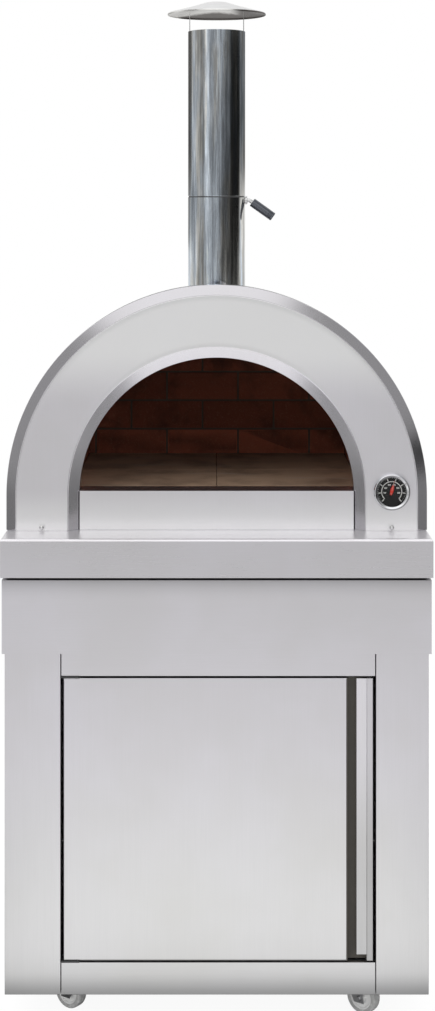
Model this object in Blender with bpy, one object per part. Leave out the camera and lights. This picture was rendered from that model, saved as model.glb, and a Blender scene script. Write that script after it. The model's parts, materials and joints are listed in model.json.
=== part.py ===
"""Pizza oven module: an arched wood-fired oven with a short flue, on a steel counter cabinet with one door.

Metres, +Z up, the front towards -Y. The origin is on the floor, under the middle of the counter.
"""

import math

import bmesh
import bpy
from mathutils import Vector

# Sheet and clearances
SHEET = 0.0015
GAP = 0.0003

# Counter
COUNTER_HALF = 0.410
COUNTER_REACH = 0.360
COUNTER_TOP = 0.941
COUNTER_BAND = 0.074
COUNTER_LIP = 0.0095
COUNTER_EDGE = 0.005

# Counter frame under the worktop, in from the counter's edges
FRAME_INSET = 0.010
FRAME_SETBACK = 0.018
FRAME_BAR = 0.025
CROSSBAR_DEPTH = 0.030
CROSSBAR_X = 0.190

# Upper apron, in from the counter's edges
APRON_INSET = 0.002
APRON_SETBACK = 0.010
APRON_TOP = 0.862
APRON_FLANGE = 0.025

# Cabinet carcass, in from the counter's edges
CABINET_INSET = 0.007
CABINET_SETBACK = 0.016
CABINET_TOP = 0.7205
CABINET_BOTTOM = 0.072
HINGE_STILE = 0.106
LATCH_STILE = 0.100
STILE_LIP = 0.030
REAR_FLANGE = 0.030
TOP_RAIL_HEIGHT = 0.043
BOTTOM_RAIL_HEIGHT = 0.061
RAIL_RETURN = 0.040
FLOOR_LIP = 0.030

# Door, its edge pull and its pivots
DOOR_SIDE_GAP = 0.006
DOOR_END_GAP = 0.0055
DOOR_THICK = 0.020
DOOR_SHEET = 0.0012
PULL_MARGIN = 0.011
PULL_WIDTH = 0.021
FINGER_GAP = 0.0175
POCKET_DEPTH = 0.014
PULL_LIP = 0.006
PULL_END = 0.010
PIN_RADIUS = 0.004
PIN_INSET = 0.010
PIN_REACH = 0.014
HINGE_PLATE = 0.003
HINGE_WIDTH = 0.036
HINGE_DEPTH = 0.025
CATCH_SIZE = (0.045, 0.018, 0.020)
CATCH_X = 0.180

# Casters
CASTER_HEIGHT = 0.090
CASTER_INSET = 0.133
CASTER_SETBACK = 0.099
CASTER_PLATE = 0.070
CASTER_PLATE_THICK = 0.0025
RACE_RADIUS = 0.020
RACE_HEIGHT = 0.006
WHEEL_RADIUS = 0.0325
WHEEL_HALF = 0.011
WHEEL_WEB = 0.008
HUB_RADIUS = 0.009
HUB_HALF = 0.0142
FORK_SHEET = 0.0025
FORK_TOP = 0.044
FORK_FOOT = 0.022
CASTER_TRAIL = 0.020
CASTER_YAW = math.radians(37)

# Oven arch: its width follows the counter, and its heights start at the counter's top
ARCH_INSET = 0.001
ARCH_RISE = 0.0675
ARCH_STEPS = 40
FACE_SETBACK = 0.083
OUTER_BEVEL = 0.019
OUTER_BEVEL_DEPTH = 0.012
OUTER_RETURN = 0.045
MOUTH_RADIUS = 0.267
INNER_BEVEL = 0.0205
INNER_BEVEL_DEPTH = 0.014
MOUTH_DEPTH = 0.054
SHELL_STEP = 0.0275
SHELL_START = 0.027
SHELL_FLANGE = 0.020
SHELL_SETBACK = 0.0168

# Sill, hearth and lining
SILL_RISE = 0.076
SILL_RECESS = 0.010
SILL_RETURN = 0.058
VAULT_INNER = 0.285
BRICK = 0.050
VAULT_BACK = 0.270
BACK_WALL = 0.030
COURSES = 14
JOINT_WIDTH = 0.004
JOINT_DEPTH = 0.0025
BLANKET_SETBACK = 0.011
STONE = 0.030
STONE_JOINT = 0.001
TRAY_DEPTH = 0.024

# Flue
FLUE_Y = -0.100
PIPE_RADIUS = 0.058
PIPE_WALL = 0.0012
PIPE_TOP = 1.925
PIPE_SEAM = 1.590
PIPE_LAP = 0.030
SPIGOT_CLEARANCE = 0.0015
SPIGOT_RISE = 0.060
FLANGE_RADIUS = 0.0925
FLANGE_THICK = 0.002
CAP_RADIUS = 0.100
CAP_RIM = 1.962
CAP_RISE = 0.024
CAP_TURN = 0.004
STRAP_WIDTH = 0.016
STRAP_LAP = 0.026
STRAP_TAB = 0.014

# Damper
DAMPER_DROP = 0.008
ROD_RADIUS = 0.004
ROD_BEND_LEG = 0.004
ROD_BEND = math.radians(35.5)
BUSH_RADIUS = 0.0085
BUSH_LENGTH = 0.004
PLATE_RADIUS = 0.053
PLATE_THICK = 0.002
GRIP_START = 0.007
GRIP_RADIUS = 0.009
GRIP_LENGTH = 0.052
GRIP_BORE = 0.030
GRIP_ROUND = 0.0015

# Thermometer and face pegs
DIAL_RISE = 0.0768
BEZEL_RADIUS = 0.0355
BEZEL_OPENING = 0.0285
CASE_RADIUS = 0.033
CASE_WALL = 0.002
CASE_DEPTH = 0.0115
CASE_FLOOR = 0.003
DIAL_THICK = 0.0008
GLASS_THICK = 0.0015
NEEDLE_LIFT = 0.0005
NEEDLE_THICK = 0.001
NEEDLE_LENGTH = 0.022
NEEDLE_TAIL = 0.007
NEEDLE_TILT = math.radians(15)
STEM_RADIUS = 0.003
STEM_LENGTH = 0.052
THREAD_RADIUS = 0.006
THREAD_LENGTH = 0.014
PEG_RISE = 0.0075
PEG_HEAD = 0.005
PEG_STAND = 0.0105
PEG_SHANK = 0.0025
PEG_LENGTH = 0.012

# Facets of round pieces
FINE = 40
ROUND = 24
SMALL = 16

# Places that follow from the sizes above
COUNTER_UNDER = COUNTER_TOP - COUNTER_BAND
FRAME_HALF = COUNTER_HALF - FRAME_INSET
FRAME_REACH = COUNTER_REACH - FRAME_SETBACK
APRON_HALF = COUNTER_HALF - APRON_INSET
APRON_REACH = COUNTER_REACH - APRON_SETBACK
CABINET_HALF = COUNTER_HALF - CABINET_INSET
CABINET_REACH = COUNTER_REACH - CABINET_SETBACK
CASTER_X = CABINET_HALF - CASTER_INSET
CASTER_Y = CABINET_REACH - CASTER_SETBACK
FRAME_TOP = COUNTER_TOP - SHEET - GAP
FRAME_BOTTOM = APRON_TOP + GAP
APRON_BOTTOM = CABINET_TOP + GAP
HINGE_EDGE = HINGE_STILE - CABINET_HALF
LATCH_EDGE = CABINET_HALF - LATCH_STILE
TOP_RAIL_UNDER = CABINET_TOP - TOP_RAIL_HEIGHT
BOTTOM_RAIL_TOP = CABINET_BOTTOM + BOTTOM_RAIL_HEIGHT
FRONT_Y = -CABINET_REACH
RAIL_LEFT = HINGE_EDGE + GAP
RAIL_RIGHT = LATCH_EDGE - GAP
DOOR_LEFT = HINGE_EDGE + DOOR_SIDE_GAP
DOOR_RIGHT = LATCH_EDGE - DOOR_SIDE_GAP
DOOR_TOP = TOP_RAIL_UNDER - DOOR_END_GAP
DOOR_BOTTOM = BOTTOM_RAIL_TOP + DOOR_END_GAP
DOOR_BACK = FRONT_Y + DOOR_THICK
RETURN_BACK = DOOR_BACK - DOOR_SHEET - GAP
PIN_X = DOOR_LEFT + PIN_INSET
PIN_Y = FRONT_Y + DOOR_THICK / 2
SKIN_EDGE = DOOR_RIGHT - PULL_MARGIN - PULL_WIDTH - FINGER_GAP
FLOOR_UNDER = CASTER_HEIGHT + GAP
FLOOR_FRONT = FRONT_Y + RAIL_RETURN + GAP
FLOOR_BACK = CABINET_REACH - SHEET - GAP
FORK_INNER = HUB_HALF + GAP
FORK_CROWN = CASTER_HEIGHT - CASTER_PLATE_THICK - RACE_HEIGHT - GAP
OVEN_BASE = COUNTER_TOP + GAP
ARCH_RADIUS = COUNTER_HALF - ARCH_INSET
ARCH_CENTRE = COUNTER_TOP + ARCH_RISE
FACE_Y = FACE_SETBACK - COUNTER_REACH
RETURN_Y = FACE_Y + OUTER_RETURN
SHELL_RADIUS = ARCH_RADIUS - SHELL_STEP
SHELL_BACK = COUNTER_REACH - SHELL_SETBACK
SILL_TOP = COUNTER_TOP + SILL_RISE
FACE_MIDDLE = (MOUTH_RADIUS + INNER_BEVEL + ARCH_RADIUS - OUTER_BEVEL) / 2
BLANKET_RADIUS = SHELL_RADIUS - SHEET - GAP
LINED_BASE = OVEN_BASE + SHEET + GAP
VAULT_OUTER = VAULT_INNER + BRICK
MOUTH_BACK = FACE_Y + MOUTH_DEPTH
THROAT_BACK = MOUTH_BACK + GAP + SHEET
LINING_FRONT = THROAT_BACK + GAP
BLANKET_START = LINING_FRONT + BLANKET_SETBACK
WALL_BACK = VAULT_BACK + GAP + BACK_WALL
STONE_TOP = SILL_TOP - SHEET - GAP
STONE_BOTTOM = STONE_TOP - STONE
TRAY_TOP = STONE_BOTTOM - GAP
HEARTH_HALF = VAULT_INNER - 2 * GAP
PIPE_BORE = PIPE_RADIUS - PIPE_WALL
SPIGOT_RADIUS = PIPE_BORE - SPIGOT_CLEARANCE
DAMPER_Z = PIPE_SEAM - DAMPER_DROP
ROD_WALL = PIPE_RADIUS + GAP
ROD_STRAIGHT = ROD_WALL + BUSH_LENGTH + GAP + ROD_BEND_LEG
DIAL_X = FACE_MIDDLE
DIAL_Z = COUNTER_TOP + DIAL_RISE
GLASS_BACK = CASE_DEPTH - GLASS_THICK
DIAL_FRONT = CASE_FLOOR + GAP + DIAL_THICK
PEG_X = FACE_MIDDLE
PEG_Z = COUNTER_TOP + PEG_RISE


def clear_scene():
    for item in list(bpy.data.objects):
        bpy.data.objects.remove(item, do_unlink=True)


def finish(name, colour, roughness, metallic, alpha=1.0):
    """One plain material for a kind of surface."""
    material = bpy.data.materials.new(name)
    material.use_nodes = True
    shader = material.node_tree.nodes["Principled BSDF"]
    shader.inputs["Base Color"].default_value = (*colour, 1.0)
    shader.inputs["Roughness"].default_value = roughness
    shader.inputs["Metallic"].default_value = metallic
    shader.inputs["Alpha"].default_value = alpha
    return material


def add_object(name, bm, material):
    """Puts a finished mesh in the scene, with its faces out and its round faces smooth."""
    bmesh.ops.recalc_face_normals(bm, faces=bm.faces)
    mesh = bpy.data.meshes.new(name)
    bm.to_mesh(mesh)
    bm.free()
    mesh.shade_smooth()
    mesh.set_sharp_from_angle(angle=math.radians(35))
    if material:
        mesh.materials.append(material)
    item = bpy.data.objects.new(name, mesh)
    bpy.context.scene.collection.objects.link(item)
    return item


def loft(name, loops, material, ring=False):
    """Joins matching loops of points into one closed body, capped at its ends or joined back on itself."""
    bm = bmesh.new()
    rows = [[bm.verts.new(point) for point in loop] for loop in loops]
    pairs = list(zip(rows, rows[1:]))
    if ring:
        pairs.append((rows[-1], rows[0]))
    else:
        bm.faces.new(rows[0])
        bm.faces.new(rows[-1])
    for low, high in pairs:
        for i in range(len(low)):
            j = (i + 1) % len(low)
            bm.faces.new((low[i], low[j], high[j], high[i]))
    return add_object(name, bm, material)


def prism(name, outline, axis, start, end, material):
    """Pushes a flat outline along X, Y or Z. The outline gives the other two coordinates in their order."""
    place = {
        "X": lambda p, a: (a, p[0], p[1]),
        "Y": lambda p, a: (p[0], a, p[1]),
        "Z": lambda p, a: (p[0], p[1], a),
    }[axis]
    loops = [[place(point, along) for point in outline] for along in (start, end)]
    return loft(name, loops, material)


def block(name, low, high, material):
    outline = [(low[0], low[1]), (high[0], low[1]), (high[0], high[1]), (low[0], high[1])]
    return prism(name, outline, "Z", low[2], high[2], material)


def folded(path, thickness):
    """The outline of a folded sheet: its path, and the path set off to the left, or right if negative."""
    points = [Vector(point) for point in path]
    steps = [b - a for a, b in zip(points, points[1:])]
    normals = [Vector((-step.y, step.x)).normalized() for step in steps]
    offset = []
    for i, point in enumerate(points):
        before = normals[max(i - 1, 0)]
        after = normals[min(i, len(normals) - 1)]
        middle = (before + after).normalized()
        offset.append(tuple(point + middle * thickness / middle.dot(before)))
    return list(path) + offset[::-1]


def rectangle(half, reach, inset, z):
    """Four corners of a level rectangle about the Z axis."""
    x = half - inset
    y = reach - inset
    return [(-x, -y, z), (x, -y, z), (x, y, z), (-x, y, z)]


def arch_line(radius, base, steps=ARCH_STEPS):
    """Points (x, z) up the left leg, over the half circle and down the right leg."""
    points = [(-radius, base)]
    for i in range(steps + 1):
        angle = math.pi * (1 - i / steps)
        points.append((radius * math.cos(angle), ARCH_CENTRE + radius * math.sin(angle)))
    points.append((radius, base))
    return points


def arch_band(name, inner, outer, base, start, end, material):
    """A band that follows the arch, pushed along Y."""
    outline = arch_line(outer, base) + arch_line(inner, base)[::-1]
    return prism(name, outline, "Y", start, end, material)


def circle(origin, side, up, radius, steps):
    turns = (2 * math.pi * i / steps for i in range(steps))
    return [origin + side * radius * math.cos(t) + up * radius * math.sin(t) for t in turns]


def turned(name, profile, origin, axis, steps, material, ring=False):
    """Turns a profile of (radius, distance along the axis) round an axis through the origin."""
    axis = Vector(axis).normalized()
    origin = Vector(origin)
    guide = Vector((0, 0, 1)) if abs(axis.z) < 0.9 else Vector((1, 0, 0))
    side = guide.cross(axis).normalized()
    up = axis.cross(side)
    loops = [circle(origin + axis * along, side, up, radius, steps) for radius, along in profile]
    return loft(name, loops, material, ring)


def tube(name, outer, wall, low, high, material, steps=FINE):
    """An upright pipe on the flue's axis."""
    profile = [(outer, low), (outer, high), (outer - wall, high), (outer - wall, low)]
    return turned(name, profile, (0, FLUE_Y, 0), (0, 0, 1), steps, material, ring=True)


def combine(item, other, operation):
    """Cuts or joins another shape, which stays in the file as a hidden guide."""
    other.hide_render = True
    other.display_type = "WIRE"
    other.hide_set(True)
    step = item.modifiers.new(other.name, "BOOLEAN")
    step.operation = operation
    step.solver = "EXACT"
    step.object = other


def moved_origin(item, origin):
    """Sets a moving piece's origin on its joint's axis and leaves its shape where it is."""
    origin = Vector(origin)
    for vertex in item.data.vertices:
        vertex.co -= origin
    item.location = origin


def make_worktop(steel):
    """The counter's folded pan: a flat top with a deep band and a short lip turned in under it."""
    steps = [
        (COUNTER_EDGE, COUNTER_TOP),
        (COUNTER_EDGE / 3, COUNTER_TOP - COUNTER_EDGE / 3),
        (0.0, COUNTER_TOP - COUNTER_EDGE),
        (0.0, COUNTER_UNDER),
        (COUNTER_LIP, COUNTER_UNDER),
        (COUNTER_LIP, COUNTER_UNDER + SHEET),
        (SHEET, COUNTER_UNDER + SHEET),
        (SHEET, COUNTER_TOP - COUNTER_EDGE),
        (COUNTER_EDGE, COUNTER_TOP - SHEET),
    ]
    loops = [rectangle(COUNTER_HALF, COUNTER_REACH, inset, z) for inset, z in steps]
    loft("countertop", loops, steel)


def ring_channel(name, half, reach, low, high, flange, material):
    """A channel that runs round a rectangle, open to the inside, with mitred corners."""
    profile = folded([(flange, low), (0.0, low), (0.0, high), (flange, high)], -SHEET)
    loops = [rectangle(half, reach, inset, z) for inset, z in profile]
    return loft(name, loops, material, ring=True)


def make_counter_frame(dark):
    sizes = (FRAME_HALF, FRAME_REACH, FRAME_BOTTOM, FRAME_TOP, FRAME_BAR)
    frame = ring_channel("counter_subframe", *sizes, dark)
    reach = FRAME_REACH - SHEET / 2
    for side in (-1, 1):
        middle = side * CROSSBAR_X
        low = (middle - FRAME_BAR / 2, -reach, FRAME_TOP - CROSSBAR_DEPTH)
        high = (middle + FRAME_BAR / 2, reach, FRAME_TOP - SHEET / 2)
        combine(frame, block(f"crossbar_guide_{side + 1}", low, high, None), "UNION")


def make_carcass(steel):
    """Two side panels that fold into wide front stiles, two rails, the back and the floor."""
    ring_channel("upper_apron", APRON_HALF, APRON_REACH, APRON_BOTTOM, APRON_TOP, APRON_FLANGE, steel)
    for word, side, edge in (("left", -1, HINGE_EDGE), ("right", 1, LATCH_EDGE)):
        path = [
            (edge, FRONT_Y + STILE_LIP),
            (edge, FRONT_Y),
            (side * CABINET_HALF, FRONT_Y),
            (side * CABINET_HALF, CABINET_REACH),
            (side * (CABINET_HALF - REAR_FLANGE), CABINET_REACH),
        ]
        outline = folded(path, side * SHEET)
        prism(f"{word}_side_panel", outline, "Z", CABINET_BOTTOM, CABINET_TOP, steel)
    rails = (("top_rail", TOP_RAIL_UNDER, CABINET_TOP), ("bottom_rail", CABINET_BOTTOM, BOTTOM_RAIL_TOP))
    for name, low, high in rails:
        back = FRONT_Y + RAIL_RETURN
        outline = folded([(back, low), (FRONT_Y, low), (FRONT_Y, high), (back, high)], -SHEET)
        prism(name, outline, "X", RAIL_LEFT, RAIL_RIGHT, steel)
    inside = CABINET_HALF - SHEET - GAP
    loops = []
    for inset, z in ((0, FLOOR_UNDER), (0, FLOOR_UNDER + FLOOR_LIP), (SHEET, FLOOR_UNDER + FLOOR_LIP),
                     (SHEET, FLOOR_UNDER + SHEET)):
        x = inside - inset
        front = FLOOR_FRONT + inset
        back = FLOOR_BACK - inset
        loops.append([(-x, front, z), (x, front, z), (x, back, z), (-x, back, z)])
    loft("cabinet_floor", loops, steel)
    low = (-inside, FLOOR_BACK - SHEET, FLOOR_UNDER + FLOOR_LIP + GAP)
    high = (inside, FLOOR_BACK, CABINET_TOP - GAP)
    block("cabinet_back_panel", low, high, steel)


def skin_loop(inset, y):
    left = DOOR_LEFT + inset
    right = SKIN_EDGE - inset
    low = DOOR_BOTTOM + inset
    high = DOOR_TOP - inset
    return [(left, y, low), (right, y, low), (right, y, high), (left, y, high)]


def make_door(steel, dark):
    """A folded skin, a full-height pull section that closes its free edge, and a liner behind them."""
    edge = DOOR_SHEET
    steps = [(edge, FRONT_Y), (0, FRONT_Y + edge), (0, RETURN_BACK), (DOOR_SHEET, RETURN_BACK),
             (DOOR_SHEET, FRONT_Y + DOOR_SHEET * 2), (DOOR_SHEET * 2, FRONT_Y + DOOR_SHEET)]
    skin = loft("door_skin", [skin_loop(inset, y) for inset, y in steps], steel)
    hole = [(PIN_RADIUS + GAP, DOOR_BOTTOM - edge), (PIN_RADIUS + GAP, DOOR_TOP + edge)]
    guide = turned("pin_hole_guide", hole, (PIN_X, PIN_Y, 0), (0, 0, 1), SMALL, None)
    combine(skin, guide, "DIFFERENCE")

    low = (DOOR_LEFT, RETURN_BACK + GAP, DOOR_BOTTOM)
    liner = block("door_liner", low, (DOOR_RIGHT, DOOR_BACK, DOOR_TOP), steel)

    wall = DOOR_SHEET
    left = SKIN_EDGE + GAP
    right = DOOR_RIGHT
    bar_right = right - PULL_MARGIN
    bar_left = bar_right - PULL_WIDTH
    floor = FRONT_Y + POCKET_DEPTH
    outline = [
        (left, FRONT_Y),
        (left, floor),
        (bar_right, floor),
        (bar_right, FRONT_Y + wall),
        (right - wall, FRONT_Y + wall),
        (right - wall, RETURN_BACK),
        (right, RETURN_BACK),
        (right, FRONT_Y + wall / 2),
        (right - wall / 2, FRONT_Y),
        (bar_right, FRONT_Y),
        (bar_right - wall / 2, FRONT_Y + wall * 0.8),
        (bar_right - wall, FRONT_Y),
        (bar_left + wall, FRONT_Y),
        (bar_left, FRONT_Y + wall),
        (bar_left, FRONT_Y + PULL_LIP - wall),
        (bar_left + wall, FRONT_Y + PULL_LIP),
        (bar_right - wall, FRONT_Y + PULL_LIP),
        (bar_right - wall, floor - wall),
        (left + wall, floor - wall),
        (left + wall, FRONT_Y),
    ]
    pull = prism("door_pull", outline, "Z", DOOR_BOTTOM, DOOR_TOP, steel)
    low = (bar_left - wall, FRONT_Y - wall, DOOR_BOTTOM - wall)
    high = (bar_right - wall, FRONT_Y + PULL_LIP + wall / 2, DOOR_BOTTOM + PULL_END)
    combine(pull, block("pull_end_guide", low, high, None), "DIFFERENCE")
    for item in (skin, liner, pull):
        moved_origin(item, (PIN_X, PIN_Y, DOOR_BOTTOM))

    sides = (("upper_hinge", TOP_RAIL_UNDER - GAP, -1), ("lower_hinge", BOTTOM_RAIL_TOP + GAP, 1))
    for name, seat, way in sides:
        low = (RAIL_LEFT, PIN_Y - HINGE_DEPTH / 2, min(seat, seat + way * HINGE_PLATE))
        high = (RAIL_LEFT + HINGE_WIDTH, PIN_Y + HINGE_DEPTH / 2, max(seat, seat + way * HINGE_PLATE))
        plate = block(name, low, high, dark)
        pin = [(PIN_RADIUS, seat + way * HINGE_PLATE / 2), (PIN_RADIUS, seat + way * PIN_REACH)]
        guide = turned(f"{name}_pin_guide", pin, (PIN_X, PIN_Y, 0), (0, 0, 1), SMALL, None)
        combine(plate, guide, "UNION")

    width, depth, height = CATCH_SIZE
    top = TOP_RAIL_UNDER - GAP
    low = (CATCH_X - width / 2, DOOR_BACK + GAP, top - height)
    high = (CATCH_X + width / 2, DOOR_BACK + GAP + depth, top)
    block("door_catch", low, high, dark)


def square_loop(half, z):
    """A square with as many points as a round loop, at the same angles."""
    points = []
    for i in range(SMALL):
        angle = 2 * math.pi * i / SMALL
        reach = half / max(abs(math.cos(angle)), abs(math.sin(angle)))
        points.append(Vector((reach * math.cos(angle), reach * math.sin(angle), z)))
    return points


def make_caster(name, x, y, steel, rubber):
    """A plate with its ball race, a swivelling fork and a wheel that trails outwards."""
    across = math.copysign(1, x)
    roll = Vector((across * math.cos(CASTER_YAW), -across * math.sin(CASTER_YAW), 0))
    axle = Vector((-math.sin(CASTER_YAW), -math.cos(CASTER_YAW), 0))
    centre = Vector((x, y, 0))
    side = Vector((1, 0, 0))
    back = Vector((0, 1, 0))
    under = CASTER_HEIGHT - CASTER_PLATE_THICK
    loops = [[centre + point for point in square_loop(CASTER_PLATE / 2, z)] for z in (CASTER_HEIGHT, under)]
    for z in (under, under - RACE_HEIGHT):
        loops.append(circle(centre + Vector((0, 0, z)), side, back, RACE_RADIUS, SMALL))
    loft(f"{name}_plate", loops, steel)

    inner = FORK_INNER
    outer = inner + FORK_SHEET
    foot = WHEEL_RADIUS - HUB_RADIUS
    crown = FORK_CROWN
    outline = [(-outer, foot), (-outer, crown), (outer, crown), (outer, foot),
               (inner, foot), (inner, crown - FORK_SHEET), (-inner, crown - FORK_SHEET), (-inner, foot)]
    loops = []
    for end in (-1, 1):
        loop = []
        for along, z in outline:
            drop = (crown - z) / (crown - foot)
            reach = CASTER_TRAIL * drop + end * (FORK_TOP * (1 - drop) + FORK_FOOT * drop) / 2
            loop.append(centre + axle * along + roll * reach + Vector((0, 0, z)))
        loops.append(loop)
    fork = loft(f"{name}_fork", loops, steel)
    moved_origin(fork, centre + Vector((0, 0, crown)))

    hub = centre + roll * CASTER_TRAIL + Vector((0, 0, WHEEL_RADIUS))
    half = [(HUB_RADIUS, HUB_HALF), (HUB_RADIUS, WHEEL_WEB), (WHEEL_RADIUS - 0.010, WHEEL_WEB),
            (WHEEL_RADIUS - 0.009, WHEEL_HALF), (WHEEL_RADIUS - 0.002, WHEEL_HALF),
            (WHEEL_RADIUS, WHEEL_HALF - 0.0025)]
    profile = half + [(radius, -along) for radius, along in half[::-1]]
    wheel = turned(f"{name}_wheel", profile, hub, axle, ROUND, rubber)
    moved_origin(wheel, hub)


def make_oven_front(steel, polished):
    """The arched face box with its two bevels, the sill between its legs and the throat ring behind."""
    path = [
        (SHELL_RADIUS + GAP, RETURN_Y),
        (ARCH_RADIUS, RETURN_Y),
        (ARCH_RADIUS, FACE_Y + OUTER_BEVEL_DEPTH),
        (ARCH_RADIUS - OUTER_BEVEL, FACE_Y),
        (MOUTH_RADIUS + INNER_BEVEL, FACE_Y),
        (MOUTH_RADIUS, FACE_Y + INNER_BEVEL_DEPTH),
        (MOUTH_RADIUS, MOUTH_BACK),
    ]
    profile = folded(path, -SHEET)
    loops = [[(-radius, y, OVEN_BASE) for radius, y in profile]]
    for i in range(ARCH_STEPS + 1):
        angle = math.pi * (1 - i / ARCH_STEPS)
        across, rise = math.cos(angle), math.sin(angle)
        loops.append([(radius * across, y, ARCH_CENTRE + radius * rise) for radius, y in profile])
    loops.append([(radius, y, OVEN_BASE) for radius, y in profile])
    face = loft("front_surround", loops, steel)
    holes = (("stem_hole_guide", DIAL_X, DIAL_Z, THREAD_RADIUS),
             ("left_peg_hole_guide", -PEG_X, PEG_Z, PEG_SHANK),
             ("right_peg_hole_guide", PEG_X, PEG_Z, PEG_SHANK))
    for name, x, z, radius in holes:
        ends = [(radius + GAP, -SHEET * 3), (radius + GAP, SHEET * 3)]
        guide = turned(name, ends, (x, FACE_Y, z), (0, -1, 0), SMALL, None)
        combine(face, guide, "DIFFERENCE")

    front = FACE_Y + SILL_RECESS
    outline = folded([(front, OVEN_BASE), (front, SILL_TOP), (front + SILL_RETURN, SILL_TOP)], -SHEET)
    half = MOUTH_RADIUS - 2 * GAP
    prism("sill_panel", outline, "X", -half, half, steel)
    arch_band("throat_ring", MOUTH_RADIUS, VAULT_OUTER, OVEN_BASE, MOUTH_BACK + GAP, THROAT_BACK, polished)


def make_oven_body(steel, blanket):
    """The outer shell, its back, and the insulation under them, all pierced for the flue's spigot."""
    line = arch_line(SHELL_RADIUS, OVEN_BASE)
    foot = SHELL_RADIUS - SHELL_FLANGE
    outline = folded([(-foot, OVEN_BASE), *line, (foot, OVEN_BASE)], -SHEET)
    shell = prism("oven_shell", outline, "Y", FACE_Y + SHELL_START, SHELL_BACK, steel)
    outline = arch_line(SHELL_RADIUS, OVEN_BASE)
    prism("oven_back_panel", outline, "Y", SHELL_BACK + GAP, SHELL_BACK + GAP + SHEET, steel)
    wool = arch_band("insulation_blanket", VAULT_OUTER + GAP, BLANKET_RADIUS, LINED_BASE, BLANKET_START,
                     WALL_BACK, blanket)
    outline = arch_line(BLANKET_RADIUS, LINED_BASE)
    prism("rear_insulation_board", outline, "Y", WALL_BACK + GAP, SHELL_BACK, blanket)
    return shell, wool


def course_line():
    """The vault's inner line, with a raked joint between each two courses of brick."""
    half_joint = JOINT_WIDTH / VAULT_INNER / 2
    points = [(-VAULT_INNER, OVEN_BASE)]

    def add(angle, radius):
        points.append((radius * math.cos(angle), ARCH_CENTRE + radius * math.sin(angle)))

    for course in range(COURSES):
        start = math.pi * (1 - course / COURSES)
        end = math.pi * (1 - (course + 1) / COURSES)
        if course:
            add(start + half_joint * 0.5, VAULT_INNER + JOINT_DEPTH)
            add(start - half_joint * 0.5, VAULT_INNER + JOINT_DEPTH)
        first = start - (half_joint if course else 0)
        last = end + (half_joint if course < COURSES - 1 else 0)
        for i in range(4):
            add(first + (last - first) * i / 3, VAULT_INNER)
    points.append((VAULT_INNER, OVEN_BASE))
    return points


def make_lining(brick, stone, blanket, steel):
    """The brick vault and back wall, and the hearth: four stones in a tray over an insulating board."""
    outline = arch_line(VAULT_OUTER, OVEN_BASE) + course_line()[::-1]
    vault = prism("brick_vault", outline, "Y", LINING_FRONT, VAULT_BACK, brick)
    outline = arch_line(VAULT_OUTER, OVEN_BASE)
    prism("brick_back_wall", outline, "Y", VAULT_BACK + GAP, WALL_BACK, brick)

    loops = []
    for inset, z in ((0, TRAY_TOP), (0, TRAY_TOP - TRAY_DEPTH), (SHEET, TRAY_TOP - TRAY_DEPTH),
                     (SHEET, TRAY_TOP - SHEET)):
        x = HEARTH_HALF - inset
        front = LINING_FRONT + inset
        back = VAULT_BACK - inset
        loops.append([(-x, front, z), (x, front, z), (x, back, z), (-x, back, z)])
    loft("hearth_tray", loops, steel)
    inset = SHEET + GAP
    low = (inset - HEARTH_HALF, LINING_FRONT + inset, OVEN_BASE)
    high = (HEARTH_HALF - inset, VAULT_BACK - inset, TRAY_TOP - SHEET - GAP)
    block("hearth_insulation_board", low, high, blanket)

    middle = (LINING_FRONT + VAULT_BACK) / 2
    joint = STONE_JOINT / 2
    columns = ((-HEARTH_HALF, -joint), (joint, HEARTH_HALF))
    rows = ((LINING_FRONT, middle - joint), (middle + joint, VAULT_BACK))
    for row, (front, back) in enumerate(rows):
        for column, (left, right) in enumerate(columns):
            name = f"hearth_stone_{row * 2 + column + 1}"
            block(name, (left, front, STONE_BOTTOM), (right, back, STONE_TOP), stone)
    return vault


def saddle_z(radius, x):
    """Height of a round shell over the arch's centre line."""
    return ARCH_CENTRE + math.sqrt(radius * radius - x * x)


def saddle_loop(radius, shell):
    """A circle about the flue's axis, laid on a round shell."""
    points = circle(Vector((0, FLUE_Y, 0)), Vector((1, 0, 0)), Vector((0, 1, 0)), radius, FINE)
    return [Vector((point.x, point.y, saddle_z(shell, point.x))) for point in points]


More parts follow.
